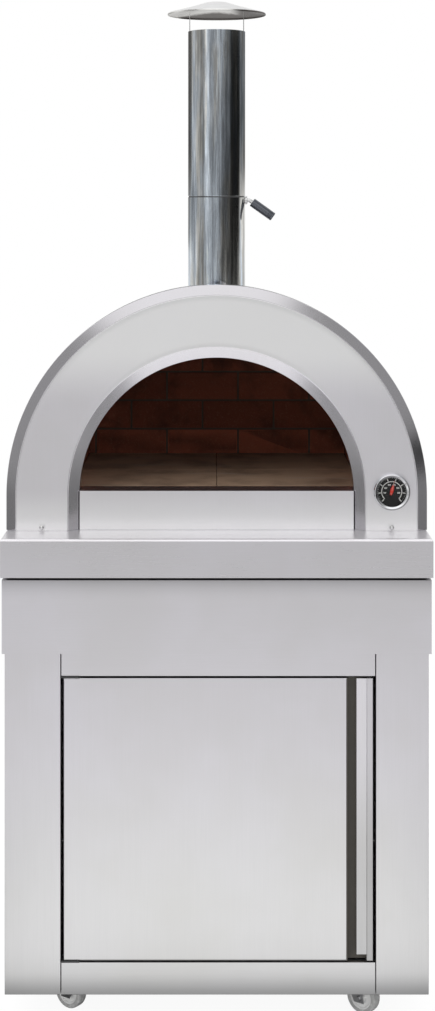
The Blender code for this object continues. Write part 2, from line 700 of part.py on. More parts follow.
def make_flue(pipe, steel, dark, pierced):
    """Spigot, saddle flange, two lapped pipes and a rain cap on two straps."""
    spigot_top = ARCH_CENTRE + SHELL_RADIUS + SPIGOT_RISE
    tube("flue_throat", SPIGOT_RADIUS, SHEET, ARCH_CENTRE + VAULT_INNER, spigot_top, dark)
    hole = [(SPIGOT_RADIUS + GAP, ARCH_CENTRE), (SPIGOT_RADIUS + GAP, spigot_top)]
    guide = turned("flue_hole_guide", hole, (0, FLUE_Y, 0), (0, 0, 1), FINE, None)
    for item in pierced:
        combine(item, guide, "DIFFERENCE")

    under = SHELL_RADIUS + GAP
    over = under + FLANGE_THICK
    inner = PIPE_RADIUS + GAP
    rings = [inner, (inner + FLANGE_RADIUS) / 2, FLANGE_RADIUS]
    loops = [saddle_loop(radius, under) for radius in rings]
    loops += [saddle_loop(radius, over) for radius in rings[::-1]]
    loft("flue_flange", loops, steel, ring=True)

    neck = PIPE_BORE - GAP
    levels = [(PIPE_RADIUS, PIPE_SEAM - SHEET), (neck, PIPE_SEAM), (neck, PIPE_SEAM + PIPE_LAP),
              (neck - PIPE_WALL, PIPE_SEAM + PIPE_LAP), (neck - PIPE_WALL, PIPE_SEAM - SHEET),
              (PIPE_BORE, PIPE_SEAM - SHEET * 2)]
    side, back = Vector((1, 0, 0)), Vector((0, 1, 0))
    loops = [saddle_loop(PIPE_RADIUS, under)]
    for radius, z in levels:
        loops.append(circle(Vector((0, FLUE_Y, z)), side, back, radius, FINE))
    loops.append(saddle_loop(PIPE_BORE, under))
    lower = loft("lower_flue_pipe", loops, pipe, ring=True)
    hole = [(ROD_RADIUS + GAP, -PIPE_RADIUS * 1.5), (ROD_RADIUS + GAP, PIPE_RADIUS * 1.5)]
    guide = turned("rod_hole_guide", hole, (0, FLUE_Y, DAMPER_Z), (1, 0, 0), SMALL, None)
    combine(lower, guide, "DIFFERENCE")
    tube("upper_flue_pipe", PIPE_RADIUS, PIPE_WALL, PIPE_SEAM + GAP, PIPE_TOP, pipe)

    slope = CAP_RISE / CAP_RADIUS
    profile = [
        (0.004, CAP_RIM + CAP_RISE),
        (CAP_RADIUS * 0.5, CAP_RIM + CAP_RISE * 0.55),
        (CAP_RADIUS * 0.96, CAP_RIM + CAP_RISE * 0.06),
        (CAP_RADIUS, CAP_RIM),
        (CAP_RADIUS, CAP_RIM - CAP_TURN),
        (CAP_RADIUS - SHEET, CAP_RIM - CAP_TURN),
        (CAP_RADIUS - SHEET, CAP_RIM - SHEET),
        (CAP_RADIUS * 0.5, CAP_RIM + CAP_RISE * 0.55 - SHEET),
        (0.004, CAP_RIM + CAP_RISE - SHEET),
    ]
    turned("rain_cap", profile, (0, FLUE_Y, 0), (0, 0, 1), FINE, steel)

    foot = PIPE_TOP - STRAP_LAP
    reach = math.sqrt(PIPE_BORE ** 2 - (STRAP_WIDTH / 2) ** 2) - 2 * GAP
    top = CAP_RIM + CAP_RISE * 0.55 + (CAP_RADIUS * 0.5 - reach) * slope * 0.98 - SHEET - GAP * 3
    tab = reach - STRAP_TAB
    tab_z = top + STRAP_TAB * slope * 0.9
    for word, way in (("left", -1), ("right", 1)):
        path = [(way * reach, foot), (way * reach, top), (way * tab, tab_z)]
        outline = folded(path, way * SHEET)
        prism(f"cap_strap_{word}", outline, "Y", FLUE_Y - STRAP_WIDTH / 2, FLUE_Y + STRAP_WIDTH / 2, steel)


def make_damper(steel, dark):
    """A rod across the pipe with a round plate on it, bent down outside the pipe into a turned grip."""
    axis_point = Vector((0, FLUE_Y, DAMPER_Z))
    bent = Vector((math.cos(ROD_BEND), 0, -math.sin(ROD_BEND)))
    corner = axis_point + Vector((ROD_STRAIGHT, 0, 0))
    far = PIPE_RADIUS * -1
    up = Vector((0, 0, 1))
    back = Vector((0, 1, 0))
    grip_from = corner + bent * GRIP_START
    rod_end = grip_from + bent * (GRIP_BORE - GAP)
    loops = [circle(axis_point + Vector((far, 0, 0)), back, up, ROD_RADIUS, SMALL)]
    for i in range(5):
        share = i / 4
        turn = ROD_BEND * share
        before = corner - Vector((1, 0, 0)) * ROD_BEND_LEG * (1 - share) ** 2
        point = before + bent * ROD_BEND_LEG * share ** 2
        lean = Vector((math.sin(turn), 0, math.cos(turn)))
        loops.append(circle(point, back, lean, ROD_RADIUS, SMALL))
    lean = Vector((math.sin(ROD_BEND), 0, math.cos(ROD_BEND)))
    loops.append(circle(rod_end, back, lean, ROD_RADIUS, SMALL))
    rod = loft("damper_shaft", loops, steel)

    grip_profile = [(ROD_RADIUS + GAP, GRIP_BORE), (ROD_RADIUS + GAP, 0), (GRIP_RADIUS - GRIP_ROUND, 0),
                    (GRIP_RADIUS, GRIP_ROUND), (GRIP_RADIUS, GRIP_LENGTH - GRIP_ROUND),
                    (GRIP_RADIUS - GRIP_ROUND, GRIP_LENGTH)]
    grip = turned("damper_grip", grip_profile, grip_from, bent, ROUND, dark)

    seat = ROD_RADIUS + GAP
    disc = [(PLATE_RADIUS, seat), (PLATE_RADIUS, seat + PLATE_THICK)]
    plate = turned("damper_plate", disc, axis_point, (0, 1, 0), FINE, steel)
    for item in (rod, grip, plate):
        moved_origin(item, axis_point)

    bush = [(BUSH_RADIUS, ROD_WALL), (BUSH_RADIUS, ROD_WALL + BUSH_LENGTH),
            (ROD_RADIUS + GAP, ROD_WALL + BUSH_LENGTH), (ROD_RADIUS + GAP, ROD_WALL)]
    turned("damper_bush", bush, axis_point, (1, 0, 0), SMALL, steel, ring=True)


def make_thermometer(steel, black, red, glass):
    """A dial on the face: case with its stem, dial, needle, lens and bezel."""
    origin = Vector((DIAL_X, FACE_Y, DIAL_Z))
    out = (0, -1, 0)
    recess = CASE_RADIUS - CASE_WALL
    case = [(STEM_RADIUS, -STEM_LENGTH), (STEM_RADIUS, -THREAD_LENGTH), (THREAD_RADIUS, -THREAD_LENGTH),
            (THREAD_RADIUS, GAP), (CASE_RADIUS, GAP), (CASE_RADIUS, CASE_DEPTH), (recess, CASE_DEPTH),
            (recess, CASE_FLOOR)]
    turned("thermometer_case", case, origin, out, ROUND, steel)
    disc = [(recess - GAP, CASE_FLOOR + GAP), (recess - GAP, DIAL_FRONT)]
    turned("thermometer_dial", disc, origin, out, ROUND, black)
    lens = [(recess - GAP, GLASS_BACK), (recess - GAP, CASE_DEPTH)]
    turned("thermometer_glass", lens, origin, out, ROUND, glass)
    rim = CASE_RADIUS + GAP
    seat = CASE_DEPTH + GAP
    bezel = [(rim, GAP * 4), (BEZEL_RADIUS, GAP * 4), (BEZEL_RADIUS, CASE_DEPTH - 0.0005),
             (BEZEL_RADIUS - 0.0015, seat + 0.0014), (BEZEL_RADIUS - 0.0045, seat + 0.0020),
             (BEZEL_OPENING, seat + 0.0008), (BEZEL_OPENING, seat), (rim, seat)]
    turned("thermometer_bezel", bezel, origin, out, ROUND, steel, ring=True)

    half = 0.0026
    outline = [(-0.0012, -NEEDLE_TAIL), (0.0012, -NEEDLE_TAIL), (0.0012, -half), (half, -0.001),
               (half, 0.001), (0.0014, half), (0.0003, NEEDLE_LENGTH), (-0.0003, NEEDLE_LENGTH),
               (-0.0014, half), (-half, 0.001), (-half, -0.001), (-0.0012, -half)]
    across, rise = math.cos(NEEDLE_TILT), math.sin(NEEDLE_TILT)
    places = [(DIAL_X + u * across + v * rise, DIAL_Z - u * rise + v * across) for u, v in outline]
    front = FACE_Y - DIAL_FRONT - NEEDLE_LIFT
    needle = prism("thermometer_needle", places, "Y", front, front - NEEDLE_THICK, red)
    moved_origin(needle, (DIAL_X, front, DIAL_Z))


def make_pegs(steel):
    """Two dome-headed pegs low on the face."""
    for word, side in (("left", -1), ("right", 1)):
        peg = [(PEG_SHANK, -PEG_LENGTH), (PEG_SHANK, GAP), (PEG_HEAD, GAP), (PEG_HEAD, PEG_STAND * 0.5),
               (PEG_HEAD * 0.85, PEG_STAND * 0.85), (PEG_HEAD * 0.4, PEG_STAND)]
        turned(f"face_peg_{word}", peg, (side * PEG_X, FACE_Y, PEG_Z), (0, -1, 0), SMALL, steel)


def main():
    clear_scene()
    brushed = finish("brushed_steel", (0.62, 0.62, 0.62), 0.34, 1.0)
    polished = finish("polished_steel", (0.70, 0.70, 0.69), 0.12, 1.0)
    dark = finish("dark_steel", (0.09, 0.09, 0.09), 0.5, 0.7)
    zinc = finish("zinc_plated_steel", (0.45, 0.45, 0.46), 0.4, 0.9)
    brick = finish("firebrick", (0.42, 0.20, 0.12), 0.9, 0.0)
    stone = finish("hearth_stone", (0.45, 0.36, 0.27), 0.85, 0.0)
    blanket = finish("insulation", (0.78, 0.77, 0.73), 1.0, 0.0)
    black = finish("dial_black", (0.02, 0.02, 0.02), 0.5, 0.0)
    red = finish("needle_red", (0.55, 0.02, 0.015), 0.45, 0.0)
    glass = finish("lens_glass", (0.95, 0.95, 0.95), 0.03, 0.0, 0.25)
    rubber = finish("wheel_grey", (0.30, 0.30, 0.31), 0.6, 0.0)

    make_worktop(brushed)
    make_counter_frame(dark)
    make_carcass(brushed)
    make_door(brushed, dark)
    for row, y in (("front", -CASTER_Y), ("rear", CASTER_Y)):
        for word, x in (("left", -CASTER_X), ("right", CASTER_X)):
            make_caster(f"{row}_{word}_caster", x, y, zinc, rubber)
    make_oven_front(brushed, dark)
    shell, wool = make_oven_body(brushed, blanket)
    vault = make_lining(brick, stone, blanket, dark)
    make_flue(polished, brushed, dark, (vault, wool, shell))
    make_damper(polished, dark)
    make_thermometer(polished, black, red, glass)
    make_pegs(polished)


main()
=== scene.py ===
"""Dresses the pizza oven module: fine shapes, steel, brick and stone finishes, a studio and the camera."""

import json
import math

import bmesh
import bpy
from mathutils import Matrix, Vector

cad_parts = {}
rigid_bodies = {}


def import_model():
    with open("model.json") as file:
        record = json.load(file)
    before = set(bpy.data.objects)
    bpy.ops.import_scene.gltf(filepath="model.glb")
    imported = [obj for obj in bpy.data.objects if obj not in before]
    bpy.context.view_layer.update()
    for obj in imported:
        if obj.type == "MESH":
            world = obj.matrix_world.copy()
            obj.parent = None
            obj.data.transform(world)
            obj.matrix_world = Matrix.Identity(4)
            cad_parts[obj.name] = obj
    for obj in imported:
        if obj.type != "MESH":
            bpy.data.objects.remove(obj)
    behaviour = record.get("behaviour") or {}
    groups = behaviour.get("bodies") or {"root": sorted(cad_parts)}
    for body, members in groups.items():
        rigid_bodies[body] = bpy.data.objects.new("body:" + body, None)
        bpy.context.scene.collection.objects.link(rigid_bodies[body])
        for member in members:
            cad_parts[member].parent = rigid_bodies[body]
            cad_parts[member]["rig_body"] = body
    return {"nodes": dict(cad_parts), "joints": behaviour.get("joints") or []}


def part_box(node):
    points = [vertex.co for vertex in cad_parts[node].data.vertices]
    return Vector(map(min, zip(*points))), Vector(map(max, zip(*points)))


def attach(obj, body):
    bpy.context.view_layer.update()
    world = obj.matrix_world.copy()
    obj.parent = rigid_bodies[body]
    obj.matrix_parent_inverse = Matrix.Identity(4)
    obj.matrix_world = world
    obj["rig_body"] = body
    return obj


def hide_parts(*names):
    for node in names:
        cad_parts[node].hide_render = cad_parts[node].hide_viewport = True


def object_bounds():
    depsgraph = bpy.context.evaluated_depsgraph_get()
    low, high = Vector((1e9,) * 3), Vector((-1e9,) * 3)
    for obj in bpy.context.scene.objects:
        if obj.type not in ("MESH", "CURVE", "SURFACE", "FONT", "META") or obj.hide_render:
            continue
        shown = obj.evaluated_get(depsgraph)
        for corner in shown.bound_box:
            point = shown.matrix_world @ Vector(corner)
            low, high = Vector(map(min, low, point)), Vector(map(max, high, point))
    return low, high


bl_info = {
    "name": "Pizza oven module dressing",
    "version": (1, 0, 0),
    "blender": (4, 5, 0),
    "location": "View3D > Sidebar > Oven",
    "description": "Makes the fine shapes and finishes of a steel pizza oven module round its frame",
    "category": "Add Mesh",
}

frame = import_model()
CAD_BOX = [list(corner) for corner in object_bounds()]

# Places read from the frame
SURROUND_LOW, SURROUND_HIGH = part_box("front_surround")
SILL_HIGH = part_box("sill_panel")[1]
SHELL_LOW, SHELL_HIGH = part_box("oven_shell")
VAULT_LOW, VAULT_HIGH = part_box("brick_vault")
WALL_LOW, WALL_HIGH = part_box("brick_back_wall")
CASE_LOW, CASE_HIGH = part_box("thermometer_case")
DIAL_LOW, DIAL_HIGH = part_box("thermometer_dial")
PIPE_LOW, PIPE_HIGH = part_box("upper_flue_pipe")
LOWER_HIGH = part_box("lower_flue_pipe")[1]
FLANGE_LOW, FLANGE_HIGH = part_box("flue_flange")
CAP_LOW, CAP_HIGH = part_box("rain_cap")
ROD_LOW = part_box("damper_shaft")[0]
BUSH_LOW, BUSH_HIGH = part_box("damper_bush")

GAP = 0.0003
SHEET = 0.0015
DOOR_ENDS = ((2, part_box("door_pull")[0].z, -0.0018), (2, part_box("door_pull")[1].z, 0.0010))
ARCH_RADIUS = SURROUND_HIGH.x
ARCH_CENTRE = SURROUND_HIGH.z - ARCH_RADIUS
OVEN_BASE = SURROUND_LOW.z
FACE_Y = SURROUND_LOW.y
MOUTH_RADIUS = SILL_HIGH.x + 2 * GAP
VAULT_OUTER = VAULT_HIGH.x
FLUE = Vector(((PIPE_LOW.x + PIPE_HIGH.x) / 2, (PIPE_LOW.y + PIPE_HIGH.y) / 2, 0))
PIPE_RADIUS = (PIPE_HIGH.x - PIPE_LOW.x) / 2
DIAL = Vector(((DIAL_LOW.x + DIAL_HIGH.x) / 2, FACE_Y, (DIAL_LOW.z + DIAL_HIGH.z) / 2))
SIDE, BACK, UP = Vector((1, 0, 0)), Vector((0, 1, 0)), Vector((0, 0, 1))
BLACK, WHITE = (0.0, 0.0, 0.0), (1.0, 1.0, 1.0)
ARC_STEPS = 128
BRICK_THICK = 0.044
VAULT_DEPTH = 0.050
ROUND_STEPS = 96


def length(name, description, value, **limits):
    return bpy.props.FloatProperty(name=name, description=description, default=value, unit="LENGTH", **limits)


def hue(name, description, value):
    return bpy.props.FloatVectorProperty(
        name=name, description=description, default=value, size=3, subtype="COLOR", min=0, max=1)


class OvenSizes(bpy.types.PropertyGroup):
    """Sizes that only the dressing needs."""

    fold_radius: length(
        "Fold radius", "Outer radius of the folds in the sheet steel", 0.0011, min=0.0002, max=0.003)
    counter_fold: length(
        "Counter fold radius", "Outer radius of the counter's folded edge", 0.0022, min=0.0005, max=0.004)
    outer_bevel: length("Outer bevel width", "Width of the polished bevel round the face", 0.019)
    outer_bevel_depth: length("Outer bevel depth", "How far the outer bevel falls back", 0.012)
    inner_bevel: length("Mouth bevel width", "Width of the polished bevel round the mouth", 0.0205)
    inner_bevel_depth: length("Mouth bevel depth", "How far the mouth bevel falls back", 0.014)
    brick_length: length("Brick length", "Length of one brick and its joint along the vault", 0.118)
    courses: bpy.props.IntProperty(
        name="Courses", description="Brick courses from one springing of the vault to the other",
        default=14, min=6, max=30)
    flange_bolts: bpy.props.IntProperty(
        name="Flange bolts", description="Bolts round the flue flange", default=4, min=3, max=12)


class OvenColours(bpy.types.PropertyGroup):
    """Colours of the finishes."""

    steel: hue("Brushed steel", "Reflected colour of the brushed sheet", (0.78, 0.78, 0.785))
    polished: hue("Polished steel", "Reflected colour of the polished pipe", (0.76, 0.765, 0.77))
    brick: hue("Firebrick", "Colour of a clean firebrick", (0.30, 0.085, 0.045))
    stone: hue("Hearth stone", "Colour of the baked hearth", (0.34, 0.235, 0.16))
    needle: hue("Needle red", "Colour of the thermometer's needle", (0.75, 0.035, 0.02))


def sizes():
    return bpy.context.scene.oven_sizes


def colours():
    return bpy.context.scene.oven_colours


class Wire:
    """A node's output, so that sums on it read as a Python expression."""

    def __init__(self, graph, socket):
        self.graph = graph
        self.socket = socket

    def maths(self, operation, *values):
        inputs = dict(enumerate(values))
        return self.graph.node("ShaderNodeMath", {"operation": operation}, inputs)

    def __add__(self, other):
        return self.maths("ADD", self, other)

    def __sub__(self, other):
        return self.maths("SUBTRACT", self, other)

    def __rsub__(self, other):
        return self.maths("SUBTRACT", other, self)

    def __mul__(self, other):
        return self.maths("MULTIPLY", self, other)

    def __truediv__(self, other):
        return self.maths("DIVIDE", self, other)

    def __pow__(self, other):
        return self.maths("POWER", self, other)

    def __mod__(self, other):
        return self.maths("FLOORED_MODULO", self, other)

    __radd__ = __add__
    __rmul__ = __mul__

    def call(self, operation, *values):
        return self.maths(operation, self, *values)

    def between(self, low, high):
        """0 below low, 1 above high and smooth between them."""
        inputs = {"Value": self, "From Min": low, "From Max": high}
        return self.graph.node("ShaderNodeMapRange", {"interpolation_type": "SMOOTHSTEP"}, inputs)


class Graph:
    """Adds nodes to a tree."""

    def __init__(self, tree):
        self.tree = tree

    def node(self, kind, settings=None, inputs=None, out=0):
        made = self.tree.nodes.new(kind)
        for key, value in (settings or {}).items():
            if key == "stops":
                self.set_stops(made.color_ramp, value)
            else:
                setattr(made, key, value)
        for key, value in (inputs or {}).items():
            if isinstance(value, Wire):
                self.tree.links.new(value.socket, made.inputs[key])
            else:
                made.inputs[key].default_value = value
        return Wire(self, made.outputs[out])

    def set_stops(self, ramp, stops):
        ramp.elements.remove(ramp.elements[1])
        for i, (position, level) in enumerate(stops):
            stop = ramp.elements[0] if i == 0 else ramp.elements.new(position)
            stop.position = position
            stop.color = (*level, 1.0) if hasattr(level, "__len__") else (level, level, level, 1.0)

    def noise(self, vector, scale, detail=3.0, roughness=0.5):
        inputs = {"Vector": vector, "Scale": scale, "Detail": detail, "Roughness": roughness}
        return self.node("ShaderNodeTexNoise", {}, inputs)

    def drawn(self, vector, scale, detail, roughness):
        """Noise drawn out along an axis: a scale for each."""
        drawn = self.node("ShaderNodeMapping", {}, {"Vector": vector, "Scale": scale})
        return self.noise(drawn, 1.0, detail, roughness)

    def part(self, vector, letter):
        """One coordinate of a vector."""
        return self.node("ShaderNodeSeparateXYZ", {}, {"Vector": vector}, out=letter)

    def path(self, kind):
        """1 where the ray is of this kind."""
        return self.node("ShaderNodeLightPath", out=f"Is {kind} Ray")

    def mix(self, factor, first, second, blend="MIX"):
        first, second = (value if isinstance(value, Wire) else (*value, 1.0) for value in (first, second))
        settings = {"data_type": "RGBA", "blend_type": blend}
        return self.node("ShaderNodeMix", settings, {0: factor, 6: first, 7: second}, out=2)

    def times(self, first, second):
        """Two colours multiplied."""
        return self.mix(1.0, first, second, "MULTIPLY")

    def plus(self, first, second):
        """The sum of two vectors."""
        return self.node("ShaderNodeVectorMath", {"operation": "ADD"}, {0: first, 1: second})

    def vector(self, x, y, z):
        return self.node("ShaderNodeCombineXYZ", {}, {"X": x, "Y": y, "Z": z})


def shade(colour, factor):
    return tuple(min(channel * factor, 1.0) for channel in colour)


def tinted(colour, red, green, blue):
    return tuple(min(channel * factor, 1.0) for channel, factor in zip(colour, (red, green, blue)))


def recipe(**fixed):
    """Turns a function that returns the varying Principled sockets into a finish; fixed ones are plain values."""

    def wrap(build):
        def finish(name, *values, **more):
            material = bpy.data.materials.new(name)
            material.use_nodes = True
            tree = material.node_tree
            shader = tree.nodes["Principled BSDF"]
            for socket, value in {**fixed, **more}.items():
                shader.inputs[socket.replace("_", " ")].default_value = value
            graph = Graph(tree)
            place = graph.node("ShaderNodeTexCoord", out="Object")
            for socket, value in build(graph, place, *values).items():
                tree.links.new(value.socket, shader.inputs[socket])
            return material

        return finish

    return wrap


def surface(graph, tone, rough, height, strength, distance):
    """The sockets of a finish: its tone, its roughness and a relief from a height."""
    relief = graph.node("ShaderNodeBump", {}, {"Height": height, "Strength": strength, "Distance": distance})
    return {"Base Color": tone, "Roughness": rough, "Normal": relief}


GRAIN = {"X": (9.0, 620.0, 620.0), "Z": (620.0, 620.0, 9.0), "Y": (620.0, 9.0, 620.0)}


@recipe(Metallic=1.0)
def brushed(graph, place, along, colour, roughness, painted_light_by_place=None):
    """Brushed stainless: scratches, clouds, handled spots, a painted shade that darkens the foot and, from the
    hook passed in, painted highlights and shade by place.
    """
    height = graph.part(place, "Z")
    scratches = graph.drawn(place, GRAIN[along], 5.0, 0.65)
    clouds = graph.noise(place, 4.5, 3.0)
    spots = graph.noise(place, 21.0, 4.0, 0.7).between(0.55, 0.8)
    dim, lit = tinted(colour, 0.955, 0.94, 0.95), tinted(colour, 1.02, 1.005, 1.04)
    tone = graph.mix(clouds.between(0.32, 0.68), dim, lit)
    tone = graph.times(tone, graph.mix(height.between(0.22, 0.62), (1.0, 1.01, 0.975), (1.0, 0.99, 1.012)))
    tone = graph.mix(scratches * 0.45, tone, shade(colour, 0.86))
    if painted_light_by_place:
        tone = painted_light_by_place(graph, place, height, tone)
    # Painted shade: the steel darkens towards its foot, in place of the floor's shadow that it mirrors.
    tone = graph.mix((1 - height.between(0.066, 0.118)) * 0.9, tone, shade(colour, 0.60))
    rough = roughness + (scratches - 0.5) * 0.10 + (clouds - 0.5) * 0.06 + spots * 0.03
    return surface(graph, tone, rough, scratches, 0.10, 0.0002)


def painted_face_light(graph, place, height, tone):
    """Painted highlights towards the crown and the counter, and a painted shade along the two folds of the arch.
    """
    lift = height.between(ARCH_CENTRE + 0.17, ARCH_CENTRE + 0.29) * 0.86
    foot = (1 - height.between(OVEN_BASE, OVEN_BASE + 0.085)) * 0.86
    tone = graph.mix(lift + foot, tone, WHITE)
    x = graph.part(place, "X")
    rise = (height - ARCH_CENTRE).call("MAXIMUM", 0.0)
    reach = (x * x + rise * rise).call("SQRT")
    outer = reach.between(ARCH_RADIUS - 0.034, ARCH_RADIUS - 0.020)
    inner = 1 - reach.between(MOUTH_RADIUS + 0.022, MOUTH_RADIUS + 0.034)
    return graph.mix((outer + inner) * lift * 0.36, tone, (0.60, 0.60, 0.605))


def painted_counter_shadow(graph, place, height, tone):
    """Painted shadow: darker where the counter's edge overhangs the apron."""
    start, reach = 0.815, 0.046
    near = ((height - start) / reach).call("MAXIMUM", 0.0).call("MINIMUM", 1.0)
    return graph.mix(near ** 2.5 * 0.36, tone, BLACK)


def painted_bar_gradient(graph, place, height, tone):
    """Painted light: the pull's bar is paler at its top than at its foot."""
    return graph.times(tone, graph.mix(height.between(0.25, 0.66), (0.80, 0.80, 0.80), (1.13, 1.13, 1.13)))


@recipe(Metallic=1.0)
def bezel_polish(graph, place, colour):
    """Polished ring with painted light: its outer slope is painted bright at the upper left and dark at the lower
    right, its inner slope the other way round.
    """
    x = graph.part(place, "X") - DIAL.x
    z = graph.part(place, "Z") - DIAL.z
    rim = (x * x + z * z).call("SQRT").between(0.0318, 0.0330)
    facing = (x - z) / 0.050 * (1 - rim * 2)
    fine = graph.noise(place, 420.0, 2.0)
    # Painted highlight and painted shade, set by the side of the ring.
    tone = graph.mix(facing.between(-0.7, 0.7), shade(colour, 0.40), shade(colour, 1.42))
    return surface(graph, tone, 0.09 + fine * 0.04, fine, 0.03, 0.0001)


@recipe(Metallic=1.0)
def polished_pipe(graph, place, colour):
    """Polished tube: long upright streaks, partly marks left by the rolls and partly painted reflection bands,
    each with its own gloss and depth of tone.
    """
    streaks_and_painted_bands = graph.drawn(place, (70.0, 70.0, 1.6), 4.0, 0.65)
    hair = graph.drawn(place, (420.0, 420.0, 2.5), 3.0, 0.6)
    haze = graph.noise(place, 7.0, 3.0)
    drift = graph.drawn(place, (40.0, 40.0, 3.0), 4.0, 0.6)
    # Painted reflection: the streaks and smears lighten and darken the tube in long upright bands.
    tone = graph.mix(streaks_and_painted_bands.between(0.33, 0.66), shade(colour, 0.62), shade(colour, 1.22))
    tone = graph.mix(hair.between(0.35, 0.7) * 0.35, tone, shade(colour, 0.66))
    smears_and_painted_reflection = graph.drawn(place, (190.0, 190.0, 11.0), 4.0, 0.7).between(0.36, 0.66)
    tone = graph.times(tone, graph.mix(smears_and_painted_reflection, (0.68, 0.68, 0.68), (1.22, 1.22, 1.22)))
    warm, blued = graph.times(tone, (1.0, 0.985, 0.93)), graph.times(tone, (0.90, 0.985, 1.08))
    tone = graph.mix(drift.between(0.40, 0.58), warm, blued)
    rough = 0.075 + hair * 0.05 + (haze - 0.5) * 0.04
    height = streaks_and_painted_bands * 0.8 + hair * 0.10
    return surface(graph, tone, rough, height, 0.25, 0.0010)


@recipe(Metallic=1.0)
def polished_plain(graph, place, colour, roughness, clouding=0.04):
    """Polished or plated steel with a little haze."""
    haze = graph.noise(place, 38.0, 4.0)
    fine = graph.noise(place, 420.0, 2.0)
    tone = graph.mix(haze, shade(colour, 0.88), shade(colour, 1.05))
    rough = roughness + (haze - 0.5) * clouding + (fine - 0.5) * clouding
    return surface(graph, tone, rough, fine, 0.03, 0.0001)


@recipe(Metallic=1.0)
def cap_painted_shade(graph, place, colour):
    """Rim and underside of the rain cap: a painted shade that darkens them towards the back and the right."""
    x = graph.part(place, "X") - FLUE.x
    y = graph.part(place, "Y") - FLUE.y
    cloud = graph.noise(place, 45.0, 4.0, 0.6)
    drawn = (cloud - 0.5) * 0.02
    # Painted shade, deepest towards the back and the right of the cap.
    shade_mask = (y + drawn).between(0.054, 0.071).call("MAXIMUM", (x + drawn).between(0.026, 0.054))
    tone = graph.mix(shade_mask, colour, (0.20, 0.185, 0.175))
    return surface(graph, tone, 0.20 + cloud * 0.2, cloud, 0.1, 0.0002)


@recipe()
def coated(graph, place, colour, roughness):
    """Painted, plated or moulded surface with a fine orange peel."""
    peel = graph.noise(place, 900.0, 2.0)
    dust = graph.noise(place, 26.0, 4.0, 0.65)
    tone = graph.mix(dust.between(0.4, 0.75) * 0.5, colour, shade(colour, 1.35))
    rough = roughness + (dust - 0.5) * 0.16
    return surface(graph, tone, rough, peel, 0.12, 0.0002)


@recipe()
def fired_brick(graph, place, colour):
    """Firebrick: each brick its own tone, pitted, with soot that thickens towards the crown."""
    own = graph.node("ShaderNodeAttribute", {"attribute_name": "tone"}, out="Fac")
    grit = graph.noise(place, 260.0, 5.0, 0.7)
    patches = graph.noise(place, 17.0, 4.0, 0.6)
    height = graph.part(place, "Z")
    soot = height.between(ARCH_CENTRE + 0.02, ARCH_CENTRE + 0.34) * 0.55 + patches.between(0.45, 0.8) * 0.45
    tone = graph.mix(own, shade(colour, 0.62), shade(colour, 1.45))
    tone = graph.mix(grit.between(0.5, 0.85) * 0.5, tone, (0.46, 0.27, 0.17))
    tone = graph.mix(soot, tone, (0.022, 0.014, 0.011))
    pits = grit + patches * 0.8
    return surface(graph, tone, 0.97 - grit * 0.12, pits, 0.6, 0.0016)


@recipe()
def hearth(graph, place, colour):
    """Baking stone: sandy grain, flour scorch and pale ash swept towards the mouth."""
    sand = graph.noise(place, 420.0, 4.0, 0.7)
    scorch = graph.noise(place, 9.0, 5.0, 0.62).between(0.42, 0.70)
    ash = graph.drawn(place, (5.0, 18.0, 5.0), 5.0, 0.6).between(0.52, 0.8)
    tone = graph.mix(sand * 0.6, colour, shade(colour, 1.35))
    tone = graph.mix(scorch * 0.6, tone, (0.085, 0.050, 0.034))
    tone = graph.mix(ash * 0.35, tone, (0.42, 0.39, 0.35))
    return surface(graph, tone, 0.93 - scorch * 0.15, sand, 0.45, 0.0007)


@recipe()
def fibre(graph, place, colour):
    """Ceramic fibre: felted, soft and uneven."""
    felt = graph.noise(place, 190.0, 6.0, 0.75)
    lumps = graph.noise(place, 22.0, 3.0)
    tone = graph.mix(felt * 0.5 + lumps * 0.3, shade(colour, 0.8), colour)
    return surface(graph, tone, 1.0 - felt * 0.05, felt + lumps, 0.7, 0.002)


@recipe()
def tyre(graph, place, colour):
    """Grey wheel rubber, scuffed where it rolls."""
    scuffs = graph.noise(place, 75.0, 5.0, 0.7)
    fine = graph.noise(place, 700.0, 2.0)
    tone = graph.mix(scuffs.between(0.45, 0.75), colour, shade(colour, 1.5))
    return surface(graph, tone, 0.72 - scuffs * 0.2, fine + scuffs, 0.25, 0.0004)


@recipe(Base_Color=(0.02, 0.02, 0.02, 1.0), Alpha=0.12)
def lens(graph, place):
    """Clear lens: almost nothing but its shine."""
    film = graph.noise(place, 60.0, 3.0).between(0.5, 0.8)
    return {"Roughness": 0.02 + film * 0.05}


FINISHES = {}


